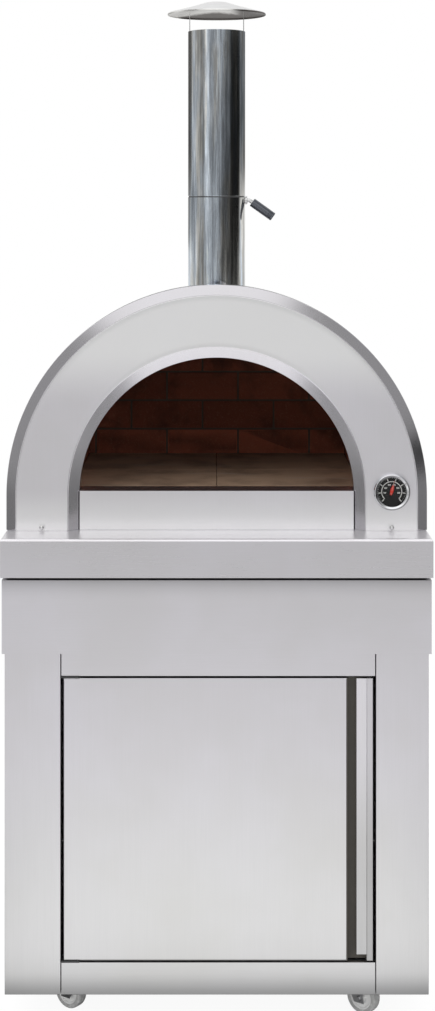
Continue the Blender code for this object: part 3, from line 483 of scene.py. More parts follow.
def make_finishes():
    """Every finish of the oven, by a short name."""
    paint = colours()
    steel = tuple(paint.steel)
    FINISHES.update(
        upright=brushed("steel_brushed_upright", "Z", steel, 0.33),
        bar=brushed("steel_pull_bar", "Z", steel, 0.33, painted_bar_gradient),
        # The margin strip is a darker copy of the steel: painted shade along the pull's edge.
        margin=brushed("steel_pull_margin", "Z", shade(steel, 0.84), 0.33, painted_bar_gradient),
        face=brushed("steel_arched_face", "Z", steel, 0.33, painted_face_light),
        level=brushed("steel_brushed_level", "X", steel, 0.33),
        apron=brushed("steel_brushed_apron", "X", steel, 0.33, painted_counter_shadow),
        shell=brushed("steel_brushed_shell", "Y", steel, 0.30),
        bevel=brushed("steel_bevel_polish", "Y", steel, 0.20),
        counter=brushed("steel_counter_band", "X", shade(steel, 0.95), 0.29),
        worktop=brushed("steel_worktop", "X", (0.97, 0.97, 0.97), 0.30, Metallic=0.72),
        pipe=polished_pipe("steel_polished_pipe", tuple(paint.polished)),
        chrome=polished_plain("chrome_plate", (0.80, 0.80, 0.80), 0.07),
        bezel=bezel_polish("bezel_polish", (0.66, 0.665, 0.68)),
        cap=polished_plain("steel_dull_cap", (0.74, 0.735, 0.73), 0.38, 0.12),
        dome=polished_plain("steel_pale_dome", (0.97, 0.965, 0.97), 0.40, 0.12),
        soffit=cap_painted_shade("steel_smoked_soffit", (0.97, 0.96, 0.93)),
        zinc=polished_plain("zinc_plate", (0.55, 0.55, 0.56), 0.34, 0.12),
        dark=coated("dark_coated_steel", (0.035, 0.035, 0.036), 0.45),
        grip=polished_plain("dark_grip_steel", (0.15, 0.158, 0.18), 0.28, 0.10),
        # The channel's dark brown is painted shade in the pull's recess.
        channel=coated("shaded_channel", (0.075, 0.068, 0.057), 0.55),
        brick=fired_brick("firebrick_sooted", tuple(paint.brick)),
        mortar=hearth("mortar_grey", (0.10, 0.072, 0.055)),
        stone=hearth("hearth_stone_baked", tuple(paint.stone)),
        fibre=fibre("ceramic_fibre", (0.75, 0.73, 0.69)),
        enamel=coated("dial_enamel", (0.004, 0.004, 0.0045), 0.60),
        print=coated("dial_print", (0.80, 0.80, 0.78), 0.55),
        pointer_line=coated("needle_line_print", (0.42, 0.36, 0.30), 0.45),
        needle=coated("needle_enamel", tuple(paint.needle), 0.35),
        lens=lens("lens_clear"),
        tyre=tyre("tyre_grey_rubber", (0.52, 0.52, 0.515)),
        hub=coated("hub_pale_nylon", (0.92, 0.92, 0.91), 0.5),
    )


def linked(name, data):
    """A new object in the scene."""
    made = bpy.data.objects.new(name, data)
    bpy.context.scene.collection.objects.link(made)
    return made


def mesh_from(name, bm):
    """A mesh from a worked one, which is then freed."""
    mesh = bpy.data.meshes.new(name)
    bm.to_mesh(mesh)
    bm.free()
    return mesh


def baked(piece):
    """The piece as its modifiers leave it, as a plain mesh."""
    graph = bpy.context.evaluated_depsgraph_get()
    mesh = bpy.data.meshes.new_from_object(piece.evaluated_get(graph))
    piece.modifiers.clear()
    piece.data = mesh
    return piece


def weigh_normals(piece):
    """Lets the large faces lead the normals, so that a narrow fold doesn't bend the shine of a flat sheet."""
    weights = piece.modifiers.new("weights", "WEIGHTED_NORMAL")
    weights.keep_sharp = True
    weights.weight = 100


def from_bmesh(name, bm, materials):
    """Closes the work on a mesh: faces out, smooth but for its sharp folds, normals led by its large faces."""
    bmesh.ops.recalc_face_normals(bm, faces=bm.faces)
    mesh = mesh_from(name, bm)
    mesh.shade_smooth()
    mesh.set_sharp_from_angle(angle=math.radians(32))
    for material in materials:
        mesh.materials.append(FINISHES[material])
    piece = linked(name, mesh)
    weigh_normals(piece)
    return baked(piece)


def loft(name, loops, materials, ring=False, pick=None):
    """Joins matching loops into one body. pick gives each strip along the loops its material."""
    bm = bmesh.new()
    rows = [[bm.verts.new(point) for point in loop] for loop in loops]
    pairs = list(zip(rows, rows[1:]))
    if ring:
        pairs.append((rows[-1], rows[0]))
    else:
        bm.faces.new(rows[0])
        bm.faces.new(rows[-1])
    for level, (low, high) in enumerate(pairs):
        for i in range(len(low)):
            j = (i + 1) % len(low)
            face = bm.faces.new((low[i], low[j], high[j], high[i]))
            if pick:
                face.material_index = pick(level, i)
    return from_bmesh(name, bm, materials)


def rounded(points, radius, steps=3):
    """The same closed outline with its corners turned into short arcs."""
    points = [Vector(point) for point in points]
    count = len(points)
    result = []
    for i, corner in enumerate(points):
        before = points[i - 1] - corner
        after = points[(i + 1) % count] - corner
        cut = min(radius, before.length * 0.45, after.length * 0.45)
        start = corner + before.normalized() * cut
        end = corner + after.normalized() * cut
        for step in range(steps + 1):
            share = step / steps
            result.append(start * (1 - share) ** 2 + corner * 2 * share * (1 - share) + end * share ** 2)
    return result


def folded(path, thickness):
    """The outline of a folded sheet: its path, and the path set off to its left, or right if negative."""
    points = [Vector(point) for point in path]
    steps = [b - a for a, b in zip(points, points[1:])]
    normals = [Vector((-step.y, step.x)).normalized() for step in steps]
    offset = []
    for i, point in enumerate(points):
        before = normals[max(i - 1, 0)]
        after = normals[min(i, len(normals) - 1)]
        middle = (before + after).normalized()
        offset.append(point + middle * thickness / middle.dot(before))
    return points + offset[::-1]


def circle(origin, side, up, radius, steps):
    turns = (2 * math.pi * i / steps for i in range(steps))
    return [origin + side * radius * math.cos(t) + up * radius * math.sin(t) for t in turns]


def turned(name, profile, origin, axis, materials, steps=ROUND_STEPS, ring=False, pick=None):
    """Turns (radius, distance along the axis) round an axis through the origin."""
    axis = Vector(axis).normalized()
    origin = Vector(origin)
    guide = UP if abs(axis.z) < 0.9 else SIDE
    side = guide.cross(axis).normalized()
    up = axis.cross(side)
    loops = [circle(origin + axis * along, side, up, radius, steps) for radius, along in profile]
    chosen = (lambda level, i: pick(level)) if pick else None
    return loft(name, loops, materials, ring, chosen)


def prism(name, outline, axis, start, end, materials):
    """Pushes a flat outline along X, Y or Z. The outline gives the other two coordinates in their order."""
    place = {
        "X": lambda p, a: (a, p[0], p[1]),
        "Y": lambda p, a: (p[0], a, p[1]),
        "Z": lambda p, a: (p[0], p[1], a),
    }[axis]
    loops = [[place(point, along) for point in outline] for along in (start, end)]
    return loft(name, loops, materials)


def arch_line(radius, base, steps=ARC_STEPS):
    """Points (x, z) up the left leg, over the half circle and down the right leg."""
    points = [(-radius, base)]
    for i in range(steps + 1):
        angle = math.pi * (1 - i / steps)
        points.append((radius * math.cos(angle), ARCH_CENTRE + radius * math.sin(angle)))
    points.append((radius, base))
    return points


def finished(piece, slot, *nodes, body=None):
    """Hands a finished piece to the frame: the nodes it stands for and its body; slot is not used."""
    if nodes:
        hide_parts(*nodes)
    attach(piece, body or frame["nodes"][nodes[0]]["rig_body"])
    return piece


def softened(node, material, radius, slot="brushed_steel", steps=3, ends=()):
    """A copy of a node's solid with its folds and edges rounded. ends moves flat ends: (axis, place, shift)."""
    bm = bmesh.new()
    bm.from_mesh(frame["nodes"][node].data)
    bmesh.ops.remove_doubles(bm, verts=bm.verts, dist=0.00002)
    for axis, place, shift in ends:
        for vertex in bm.verts:
            if abs(vertex.co[axis] - place) < 0.0002:
                vertex.co[axis] += shift
    bmesh.ops.dissolve_limit(bm, angle_limit=math.radians(0.5), verts=bm.verts, edges=bm.edges)
    mesh = mesh_from(f"{node}_fine", bm)
    mesh.materials.clear()
    mesh.materials.append(FINISHES[material])
    mesh.shade_smooth()
    piece = linked(f"{node}_fine", mesh)
    fold = piece.modifiers.new("fold", "BEVEL")
    fold.width = radius
    fold.segments = steps
    fold.limit_method = "ANGLE"
    fold.angle_limit = math.radians(35)
    weigh_normals(piece)
    return finished(baked(piece), slot, node)


def geometry_tree(name, **kinds):
    """A Geometry Nodes group with named inputs, a material among them, and one geometry output."""
    tree = bpy.data.node_groups.new(name, "GeometryNodeTree")
    kinds["Material"] = "Material"
    for label, kind in kinds.items():
        tree.interface.new_socket(name=label, in_out="INPUT", socket_type=f"NodeSocket{kind}")
    tree.interface.new_socket(name="Geometry", in_out="OUTPUT", socket_type="NodeSocketGeometry")
    graph = Graph(tree)
    source = tree.nodes.new("NodeGroupInput")
    return tree, graph, {label: Wire(graph, source.outputs[label]) for label in kinds}


def copies(graph, wire, count, spot, rotation):
    """The master's copies, each at its spot from the centre."""
    points = graph.node("GeometryNodePoints", {}, {"Count": count})
    place = {"Geometry": points, "Position": graph.plus(spot, wire["Centre"])}
    placed = graph.node("GeometryNodeSetPosition", {}, place)
    copy = graph.node("GeometryNodeObjectInfo", {}, {"Object": wire["Master"]}, out="Geometry")
    inputs = {"Points": placed, "Instance": copy, "Rotation": rotation}
    return graph.node("GeometryNodeInstanceOnPoints", {}, inputs)


def end_tree(graph, geometry, material):
    """Realizes the copies, sets their material and ends the tree."""
    whole = graph.node("GeometryNodeRealizeInstances", {}, {"Geometry": geometry})
    painted = graph.node("GeometryNodeSetMaterial", {}, {"Geometry": whole, "Material": material})
    output = graph.tree.nodes.new("NodeGroupOutput")
    graph.tree.links.new(painted.socket, output.inputs["Geometry"])


def grown(name, tree, master, material, **values):
    """Runs a tree on an empty mesh and keeps the result; the master that it copied is removed."""
    piece = linked(name, bpy.data.meshes.new(name))
    modifier = piece.modifiers.new(tree.name, "NODES")
    modifier.node_group = tree
    values.update(Master=master, Material=FINISHES[material])
    for item in tree.interface.items_tree:
        if item.in_out == "INPUT" and item.name in values:
            modifier[item.identifier] = values[item.name]
    baked(piece)
    bpy.data.objects.remove(master, do_unlink=True)
    return piece


def saddle_bolts_tree():
    """Copies spaced round a circle and set down on a round shell that runs along Y."""
    tree, graph, wire = geometry_tree(
        "saddle_bolts", Master="Object", Count="Int", Ring="Float", Shell="Float", Centre="Vector")
    turn = graph.node("GeometryNodeInputIndex") / wire["Count"] * (2 * math.pi)
    x = turn.call("COSINE") * wire["Ring"]
    y = turn.call("SINE") * wire["Ring"]
    rise = (wire["Shell"] * wire["Shell"] - x * x).call("SQRT")
    lean = (x / wire["Shell"]).call("ARCSINE")
    laid = copies(graph, wire, wire["Count"], graph.vector(x, y, rise), graph.vector(0.0, lean, 0.0))
    end_tree(graph, laid, wire["Material"])
    return tree


def ring_tree():
    """Copies spaced round part of a circle in the XZ plane, each turned to point outwards."""
    tree, graph, wire = geometry_tree(
        "ring_of_copies", Master="Object", Count="Int", Radius="Float", First="Float", Step="Float",
        Centre="Vector")
    turn = graph.node("GeometryNodeInputIndex") * wire["Step"] + wire["First"]
    x = turn.call("SINE") * wire["Radius"]
    z = turn.call("COSINE") * wire["Radius"]
    laid = copies(graph, wire, wire["Count"], graph.vector(x, 0.0, z), graph.vector(0.0, turn, 0.0))
    end_tree(graph, laid, wire["Material"])
    return tree


def brick_tree(arched):
    """Bricks in running bond, round the vault's arch or up a flat wall, each with a tone of its own."""
    tree, graph, wire = geometry_tree(
        "vault_bricks" if arched else "wall_bricks", Master="Object", Courses="Int", Bricks="Int",
        Radius="Float", Pitch="Float", Rise="Float", Centre="Vector")
    index = graph.node("GeometryNodeInputIndex")
    course = (index / wire["Bricks"] + 0.001).call("FLOOR")
    along = (index - course * wire["Bricks"] + (course % 2.0) * 0.5) * wire["Pitch"]
    if arched:
        turn = (course + 0.5) / wire["Courses"] * math.pi
        spot = graph.vector(turn.call("COSINE") * wire["Radius"], along, turn.call("SINE") * wire["Radius"])
        rotation = graph.vector(0.0, math.pi / 2 - turn, 0.0)
    else:
        spot = graph.vector(along, 0.0, (course + 0.5) * wire["Rise"])
        rotation = graph.vector(0.0, 0.0, 0.0)
    laid = copies(graph, wire, wire["Courses"] * wire["Bricks"], spot, rotation)
    own = graph.node("FunctionNodeRandomValue", {"data_type": "FLOAT"}, {"Seed": 4}, out=1)
    settings = {"data_type": "FLOAT", "domain": "INSTANCE"}
    inputs = {"Geometry": laid, "Name": "tone", "Value": own}
    end_tree(graph, graph.node("GeometryNodeStoreNamedAttribute", settings, inputs), wire["Material"])
    return tree


def worn_block(name, size, radius):
    """A block about the origin with rounded, slightly worn edges."""
    bm = bmesh.new()
    bmesh.ops.create_cube(bm, size=1.0)
    bmesh.ops.scale(bm, vec=size, verts=bm.verts)
    bmesh.ops.bevel(bm, geom=bm.edges[:], offset=radius, segments=2, profile=0.6, affect="EDGES")
    return from_bmesh(name, bm, [])


def cut_to(piece, mould):
    """Keeps only what lies inside the mould, which is then removed."""
    trim = piece.modifiers.new("trim", "BOOLEAN")
    trim.operation = "INTERSECT"
    trim.solver = "EXACT"
    trim.object = mould
    baked(piece)
    bpy.data.objects.remove(mould, do_unlink=True)
    return piece


def joined(name, pieces):
    """Several made pieces as one object, with their materials kept."""
    bm = bmesh.new()
    materials = []
    for piece in pieces:
        first = len(bm.faces)
        shift = len(materials)
        materials += [slot.material for slot in piece.material_slots]
        bm.from_mesh(piece.data)
        bm.faces.ensure_lookup_table()
        for face in bm.faces[first:]:
            face.material_index += shift
    mesh = mesh_from(name, bm)
    for material in materials:
        mesh.materials.append(material)
    for piece in pieces:
        bpy.data.objects.remove(piece, do_unlink=True)
    whole = linked(name, mesh)
    return whole


def dome_head(name, radius, height, material):
    """A dome-head screw about the origin, standing on the XY plane, with a socket."""
    profile = [(radius * 0.42, height * 0.45), (radius * 0.42, height * 0.97)]
    for i in range(7):
        angle = (math.pi / 2) * (1 - i / 6)
        profile.append((radius * (0.46 + 0.54 * math.cos(angle)), height * math.sin(angle)))
    profile.append((radius, 0.0))
    return turned(name, profile, (0, 0, 0), UP, [material], steps=24)


class OVEN_OT_sheet_steel(bpy.types.Operator):
    """Counter, apron, side panels, rails, door and the other folded sheet pieces"""

    bl_idname = "oven.sheet_steel"
    bl_label = "Folded sheet steel"

    def execute(self, context):
        fold = sizes().fold_radius
        top = softened("countertop", "counter", sizes().counter_fold)
        top.data.materials.append(FINISHES["worktop"])
        for face in top.data.polygons:
            face.material_index = 1 if face.normal.z > 0.4 else 0
        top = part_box("upper_apron")[1].z
        softened("upper_apron", "apron", fold, ends=((2, top, -0.0012),))
        softened("sill_panel", "face", fold * 0.4)
        for node in ("top_rail", "bottom_rail"):
            low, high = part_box(node)
            softened(node, "level", fold, ends=((0, low.x, 0.0012), (0, high.x, -0.0012)))
        softened("door_skin", "upright", fold, ends=DOOR_ENDS)
        for node in ("left_side_panel", "right_side_panel", "door_liner", "cabinet_back_panel"):
            softened(node, "upright", fold if node != "door_liner" else fold * 0.4)
        softened("cabinet_floor", "level", fold * 0.6)
        for node in ("upper_hinge", "lower_hinge", "door_catch", "counter_subframe", "hearth_tray"):
            softened(node, "dark", 0.0005, "dark_steel", 2)
        return {"FINISHED"}


class OVEN_OT_door_pull(bpy.types.Operator):
    """Full-height pull on the door's free edge: a bright bar over a shaded finger channel"""

    bl_idname = "oven.door_pull"
    bl_label = "Door pull"

    def execute(self, context):
        piece = softened("door_pull", "bar", 0.0007, ends=DOOR_ENDS)
        piece.data.materials.append(FINISHES["channel"])
        piece.data.materials.append(FINISHES["margin"])
        low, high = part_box("door_pull")
        bar_depth = 0.0072
        margin = 0.011
        # Channel faces take the painted shade of the channel, the margin strip its darker copy of the steel.
        for face in piece.data.polygons:
            centre = face.center
            hidden = centre.y > low.y + bar_depth or centre.x < low.x + 0.0016
            inside = centre.x < high.x - margin - 0.0005
            if hidden and inside and abs(face.normal.z) < 0.9:
                face.material_index = 1
            elif not inside:
                face.material_index = 2
        return {"FINISHED"}


class OVEN_OT_face(bpy.types.Operator):
    """Arched face with its two polished bevels"""

    bl_idname = "oven.face"
    bl_label = "Arched face"

    def execute(self, context):
        size = sizes()
        groove = 0.0011
        inner = MOUTH_RADIUS + size.inner_bevel
        outer = ARCH_RADIUS - size.outer_bevel
        rear = SURROUND_HIGH.y - 0.009
        inside = SHELL_HIGH.x + GAP
        path = [
            (inside, rear),
            (ARCH_RADIUS, rear),
            (ARCH_RADIUS, FACE_Y + size.outer_bevel_depth),
            (outer, FACE_Y + groove * 0.3),
            (outer - groove, FACE_Y + groove * 0.6),
            (outer - groove * 1.6, FACE_Y),
            (inner + groove * 1.8, FACE_Y),
            (inner + groove, FACE_Y + groove),
            (inner, FACE_Y + groove * 0.4),
            (MOUTH_RADIUS, FACE_Y + size.inner_bevel_depth),
            (MOUTH_RADIUS, SURROUND_HIGH.y),
        ]
        lining = [
            (MOUTH_RADIUS + SHEET, SURROUND_HIGH.y),
            (MOUTH_RADIUS + SHEET, FACE_Y + size.inner_bevel_depth + SHEET),
            (inner, FACE_Y + SHEET * 1.6),
            (outer, FACE_Y + SHEET * 1.6),
            (ARCH_RADIUS - SHEET, FACE_Y + size.outer_bevel_depth + SHEET),
            (ARCH_RADIUS - SHEET, rear - SHEET),
            (inside, rear - SHEET),
        ]
        profile = rounded(path + lining, 0.0006, 2)
        loops = [[(-radius, y, OVEN_BASE) for radius, y in profile]]
        for i in range(ARC_STEPS + 1):
            angle = math.pi * (1 - i / ARC_STEPS)
            across, rise = math.cos(angle), math.sin(angle)
            loops.append([(radius * across, y, ARCH_CENTRE + radius * rise) for radius, y in profile])
        loops.append([(radius, y, OVEN_BASE) for radius, y in profile])
        middles = [(a + b) / 2 for a, b in zip(profile, profile[1:] + profile[:1])]

        def pick(level, i):
            radius = middles[i].x
            return 0 if inner + groove * 0.9 < radius < outer - groove * 0.9 else 1

        face = loft("front_surround_fine", loops, ["face", "bevel"], pick=pick)
        finished(face, "brushed_steel", "front_surround")
        low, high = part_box("throat_ring")
        outline = arch_line(VAULT_OUTER, OVEN_BASE) + arch_line(MOUTH_RADIUS, OVEN_BASE)[::-1]
        ring = prism("throat_ring_fine", outline, "Y", low.y, high.y, ["dark"])
        finished(ring, "dark_steel", "throat_ring")
        return {"FINISHED"}


class OVEN_OT_shell(bpy.types.Operator):
    """Outer shell with its feet, the back panel and the saddle flange"""

    bl_idname = "oven.shell"
    bl_label = "Oven shell"

    def execute(self, context):
        radius = SHELL_HIGH.x
        foot = radius - 0.020
        path = [(-foot, OVEN_BASE), *arch_line(radius, OVEN_BASE), (foot, OVEN_BASE)]
        outline = folded(path, -SHEET)
        shell = prism("oven_shell_fine", outline, "Y", SHELL_LOW.y, SHELL_HIGH.y, ["shell"])
        finished(shell, "brushed_steel", "oven_shell")
        low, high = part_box("oven_back_panel")
        loops = []
        for inset, y in ((0.0, low.y), (0.0, high.y - 0.0005), (0.0005, high.y), (0.030, high.y),
                         (0.032, high.y - 0.0006), (0.040, high.y - 0.0006), (0.042, high.y)):
            loops.append([(x, y, z) for x, z in arch_line(high.x - inset, OVEN_BASE + inset)])
        back = loft("oven_back_panel_fine", loops, ["upright"])
        finished(back, "brushed_steel", "oven_back_panel")
        self.flange()
        return {"FINISHED"}

    def flange(self):
        shell = SHELL_HIGH.x + GAP
        thick = FLANGE_HIGH.z - (ARCH_CENTRE + shell)
        outer = (FLANGE_HIGH.x - FLANGE_LOW.x) / 2
        inner = PIPE_RADIUS + GAP
        rings = [inner + (outer - inner) * i / 6 for i in range(7)]
        levels = [(ring, shell) for ring in rings]
        levels += [(outer, shell + thick * 0.7), (outer - 0.0007, shell + thick)]
        levels += [(ring, shell + thick) for ring in rings[-2::-1]]
        loops = [saddle_loop(ring, height) for ring, height in levels]
        flange = loft("flue_flange_fine", loops, ["cap"], ring=True)
        finished(flange, "brushed_steel", "flue_flange")


def saddle_loop(radius, shell):
    """A circle about the flue, laid on a round shell over the arch's centre line."""
    points = circle(FLUE, SIDE, BACK, radius, ROUND_STEPS)
    return [Vector((p.x, p.y, ARCH_CENTRE + math.sqrt(shell * shell - p.x * p.x))) for p in points]


class OVEN_OT_flue(bpy.types.Operator):
    """Two lapped pipes, the spigot, the rain cap and its straps"""

    bl_idname = "oven.flue"
    bl_label = "Flue"

    def execute(self, context):
        wall = 0.0012
        bore = PIPE_RADIUS - wall
        shell = SHELL_HIGH.x + GAP
        seam = PIPE_LOW.z
        neck = bore - GAP
        levels = [(PIPE_RADIUS, seam - 0.0026), (PIPE_RADIUS - 0.0005, seam - 0.0020), (neck, seam - GAP),
                  (neck, LOWER_HIGH.z), (neck - wall, LOWER_HIGH.z), (neck - wall, seam - 0.002),
                  (bore, seam - 0.004)]
        loops = [saddle_loop(PIPE_RADIUS, shell)]
        loops += [circle(FLUE + UP * z, SIDE, BACK, radius, ROUND_STEPS) for radius, z in levels]
        loops.append(saddle_loop(bore, shell))
        lower = loft("lower_flue_pipe_fine", loops, ["pipe", "dark"], ring=True,
                     pick=lambda level, i: 1 if level in (1, 2) else 0)
        finished(lower, "polished_steel", "lower_flue_pipe")
        top = PIPE_HIGH.z
        profile = [(PIPE_RADIUS - 0.0003, seam), (PIPE_RADIUS, seam + 0.0005), (PIPE_RADIUS, top - 0.0005),
                   (PIPE_RADIUS - 0.0003, top), (bore + 0.0003, top), (bore, top - 0.0005), (bore, seam)]
        upper = turned("upper_flue_pipe_fine", profile, FLUE, UP, ["pipe"], ring=True)
        finished(upper, "polished_steel", "upper_flue_pipe")
        low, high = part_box("flue_throat")
        reach = (high.x - low.x) / 2
        profile = [(reach, low.z), (reach, high.z), (reach - SHEET, high.z), (reach - SHEET, low.z)]
        throat = turned("flue_throat_fine", profile, FLUE, UP, ["dark"], ring=True)
        finished(throat, "dark_steel", "flue_throat")
        self.cap()
        for word in ("left", "right"):
            softened(f"cap_strap_{word}", "chrome", 0.0004, steps=2)
        return {"FINISHED"}

    def cap(self):
        """A shallow spun cone with a rolled rim and a softly rounded tip."""
        radius = (CAP_HIGH.x - CAP_LOW.x) / 2
        turn = 0.004
        rim = CAP_LOW.z + turn
        rise = CAP_HIGH.z - rim
        outside = [(0.003, 1.0), (0.010, 0.985), (0.022, 0.91), (0.50 * radius, 0.55), (0.80 * radius, 0.215),
                   (0.93 * radius, 0.085), (0.975 * radius, 0.035), (0.995 * radius, -0.02)]
        profile = [(reach, rim + rise * share) for reach, share in outside]
        profile += [(radius, rim - turn * 0.5), (radius - 0.0003, CAP_LOW.z + 0.0002),
                    (radius - 0.0010, CAP_LOW.z), (radius - SHEET, CAP_LOW.z + 0.0004),
                    (radius - SHEET, rim - SHEET - 0.0004)]
        profile += [(reach * 0.98, rim + rise * share - SHEET) for reach, share in outside[-2::-1]]
        first = len(outside) - 1
        cap = turned("rain_cap_fine", profile, FLUE, UP, ["dome", "soffit"],
                     pick=lambda level: 1 if level >= first else 0)
        finished(cap, "brushed_steel", "rain_cap")


class OVEN_OT_damper(bpy.types.Operator):
    """Rod, plate, bush and knurled grip of the flue damper"""

    bl_idname = "oven.damper"
    bl_label = "Damper"

    def execute(self, context):
        axis = Vector((0, FLUE.y, (BUSH_LOW.z + BUSH_HIGH.z) / 2))
        rod = 0.004
        lean = math.radians(35.5)
        bent = Vector((math.cos(lean), 0, -math.sin(lean)))
        leg = 0.004
        corner = axis + SIDE * (BUSH_HIGH.x + GAP + leg)
        grip_from = corner + bent * 0.007
        loops = [circle(axis + SIDE * (ROD_LOW.x + inset), BACK, UP, radius, 32)
                 for inset, radius in ((0.0005, rod - 0.0005), (0.001, rod))]
        for i in range(9):
            share = i / 8
            turn = lean * share
            point = corner - SIDE * leg * (1 - share) ** 2 + bent * leg * share ** 2
            loops.append(circle(point, BACK, Vector((math.sin(turn), 0, math.cos(turn))), rod, 32))
        across = Vector((math.sin(lean), 0, math.cos(lean)))
        loops.append(circle(grip_from + bent * 0.0297, BACK, across, rod, 32))
        shaft = loft("damper_shaft_fine", loops, ["chrome"])
        finished(shaft, "polished_steel", "damper_shaft")

        radius, length, bore = 0.009, 0.052, 0.030
        profile = [(rod + GAP, bore), (rod + GAP, 0.0006), (rod + GAP + 0.0006, 0.0), (radius - 0.0012, 0.0),
                   (radius - 0.0003, 0.0004), (radius, 0.0013)]
        for i in range(3):
            start = 0.040 + i * 0.003
            profile += [(radius, start), (radius - 0.0005, start + 0.0004), (radius - 0.0005, start + 0.0010),
                        (radius, start + 0.0014)]
        profile += [(radius, length - 0.0013), (radius - 0.0003, length - 0.0004), (radius - 0.0012, length),
                    (radius * 0.5, length), (radius * 0.45, length - 0.0008)]
        grip = turned("damper_grip_fine", profile, grip_from, bent, ["grip"], steps=48)
        finished(grip, "dark_steel", "damper_grip")

        low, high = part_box("damper_plate")
        reach = (high.x - low.x) / 2
        edge = 0.0004
        profile = [(reach - edge, low.y), (reach, low.y + edge), (reach, high.y - edge), (reach - edge, high.y)]
        plate = turned("damper_plate_fine", profile, (0, 0, axis.z), (0, 1, 0), ["cap"], steps=64)
        finished(plate, "polished_steel", "damper_plate")

        reach = (BUSH_HIGH.z - BUSH_LOW.z) / 2
        profile = [(reach, BUSH_LOW.x), (reach, BUSH_HIGH.x - 0.001), (reach - 0.001, BUSH_HIGH.x),
                   (rod + GAP, BUSH_HIGH.x), (rod + GAP, BUSH_LOW.x)]
        bush = turned("damper_bush_fine", profile, axis, SIDE, ["chrome"], steps=48, ring=True)
        finished(bush, "polished_steel", "damper_bush")
        return {"FINISHED"}


class OVEN_OT_lining(bpy.types.Operator):
    """Brick vault and back wall, hearth stones and the insulation"""

    bl_idname = "oven.lining"
    bl_label = "Brick lining"

    def execute(self, context):
        size = sizes()
        inner = VAULT_OUTER - VAULT_DEPTH
        joint = 0.004
        width = math.pi * inner / size.courses - joint
        thick = BRICK_THICK
        brick = worn_block("vault_brick", (width, size.brick_length - joint, thick), 0.0022)
        bricks = grown(
            "vault_bricks", brick_tree(True), brick, "brick", Courses=size.courses, Bricks=6,
            Radius=inner + thick / 2, Pitch=size.brick_length,
            Centre=(0.0, VAULT_LOW.y - size.brick_length * 0.25, ARCH_CENTRE))
        outline = arch_line(VAULT_OUTER - 0.001, OVEN_BASE) + arch_line(inner, OVEN_BASE)[::-1]
        mould = prism("vault_mould", outline, "Y", VAULT_LOW.y, VAULT_HIGH.y, [])
        cut_to(bricks, mould)
        outline = arch_line(VAULT_OUTER, OVEN_BASE) + arch_line(inner + 0.0022, OVEN_BASE)[::-1]
        bed = prism("vault_mortar", outline, "Y", VAULT_LOW.y + 0.001, VAULT_HIGH.y, ["mortar"])
        legs = [self.leg(side, inner, joint) for side in (-1, 1)]
        finished(joined("brick_vault_fine", [bricks, bed, *legs]), "firebrick", "brick_vault")
        self.wall(joint)
        for i in range(1, 5):
            softened(f"hearth_stone_{i}", "stone", 0.0012, "hearth_stone")
        for node in ("insulation_blanket", "rear_insulation_board", "hearth_insulation_board"):
            softened(node, "fibre", 0.0004, "insulation", 1)
        return {"FINISHED"}

    def leg(self, side, inner, joint):
        """The upright course under each springing of the vault."""
        near = side * inner
        far = side * (inner + BRICK_THICK)
        outline = [(min(near, far), OVEN_BASE), (max(near, far), OVEN_BASE),
                   (max(near, far), ARCH_CENTRE - joint), (min(near, far), ARCH_CENTRE - joint)]
        return prism(f"leg_bricks_{side}", rounded(outline, 0.002), "Y", VAULT_LOW.y, VAULT_HIGH.y, ["brick"])

    def wall(self, joint):
        rise = 0.064
        pitch = sizes().brick_length * 1.35
        recess = 0.0022
        thick = 0.012
        brick = worn_block("wall_brick", (pitch - joint, thick, rise - joint), 0.0022)
        bricks = grown(
            "wall_bricks", brick_tree(False), brick, "brick", Courses=7, Bricks=6, Pitch=pitch, Rise=rise,
            Centre=(-2.7 * pitch, WALL_LOW.y + thick / 2, OVEN_BASE))
        outline = arch_line(VAULT_OUTER - 0.0005, OVEN_BASE)
        cut_to(bricks, prism("wall_mould", outline, "Y", WALL_LOW.y, WALL_HIGH.y, []))
        outline = arch_line(VAULT_OUTER, OVEN_BASE)
        bed = prism("wall_mortar", outline, "Y", WALL_LOW.y + recess, WALL_HIGH.y, ["mortar"])
        finished(joined("brick_back_wall_fine", [bricks, bed]), "firebrick", "brick_back_wall")


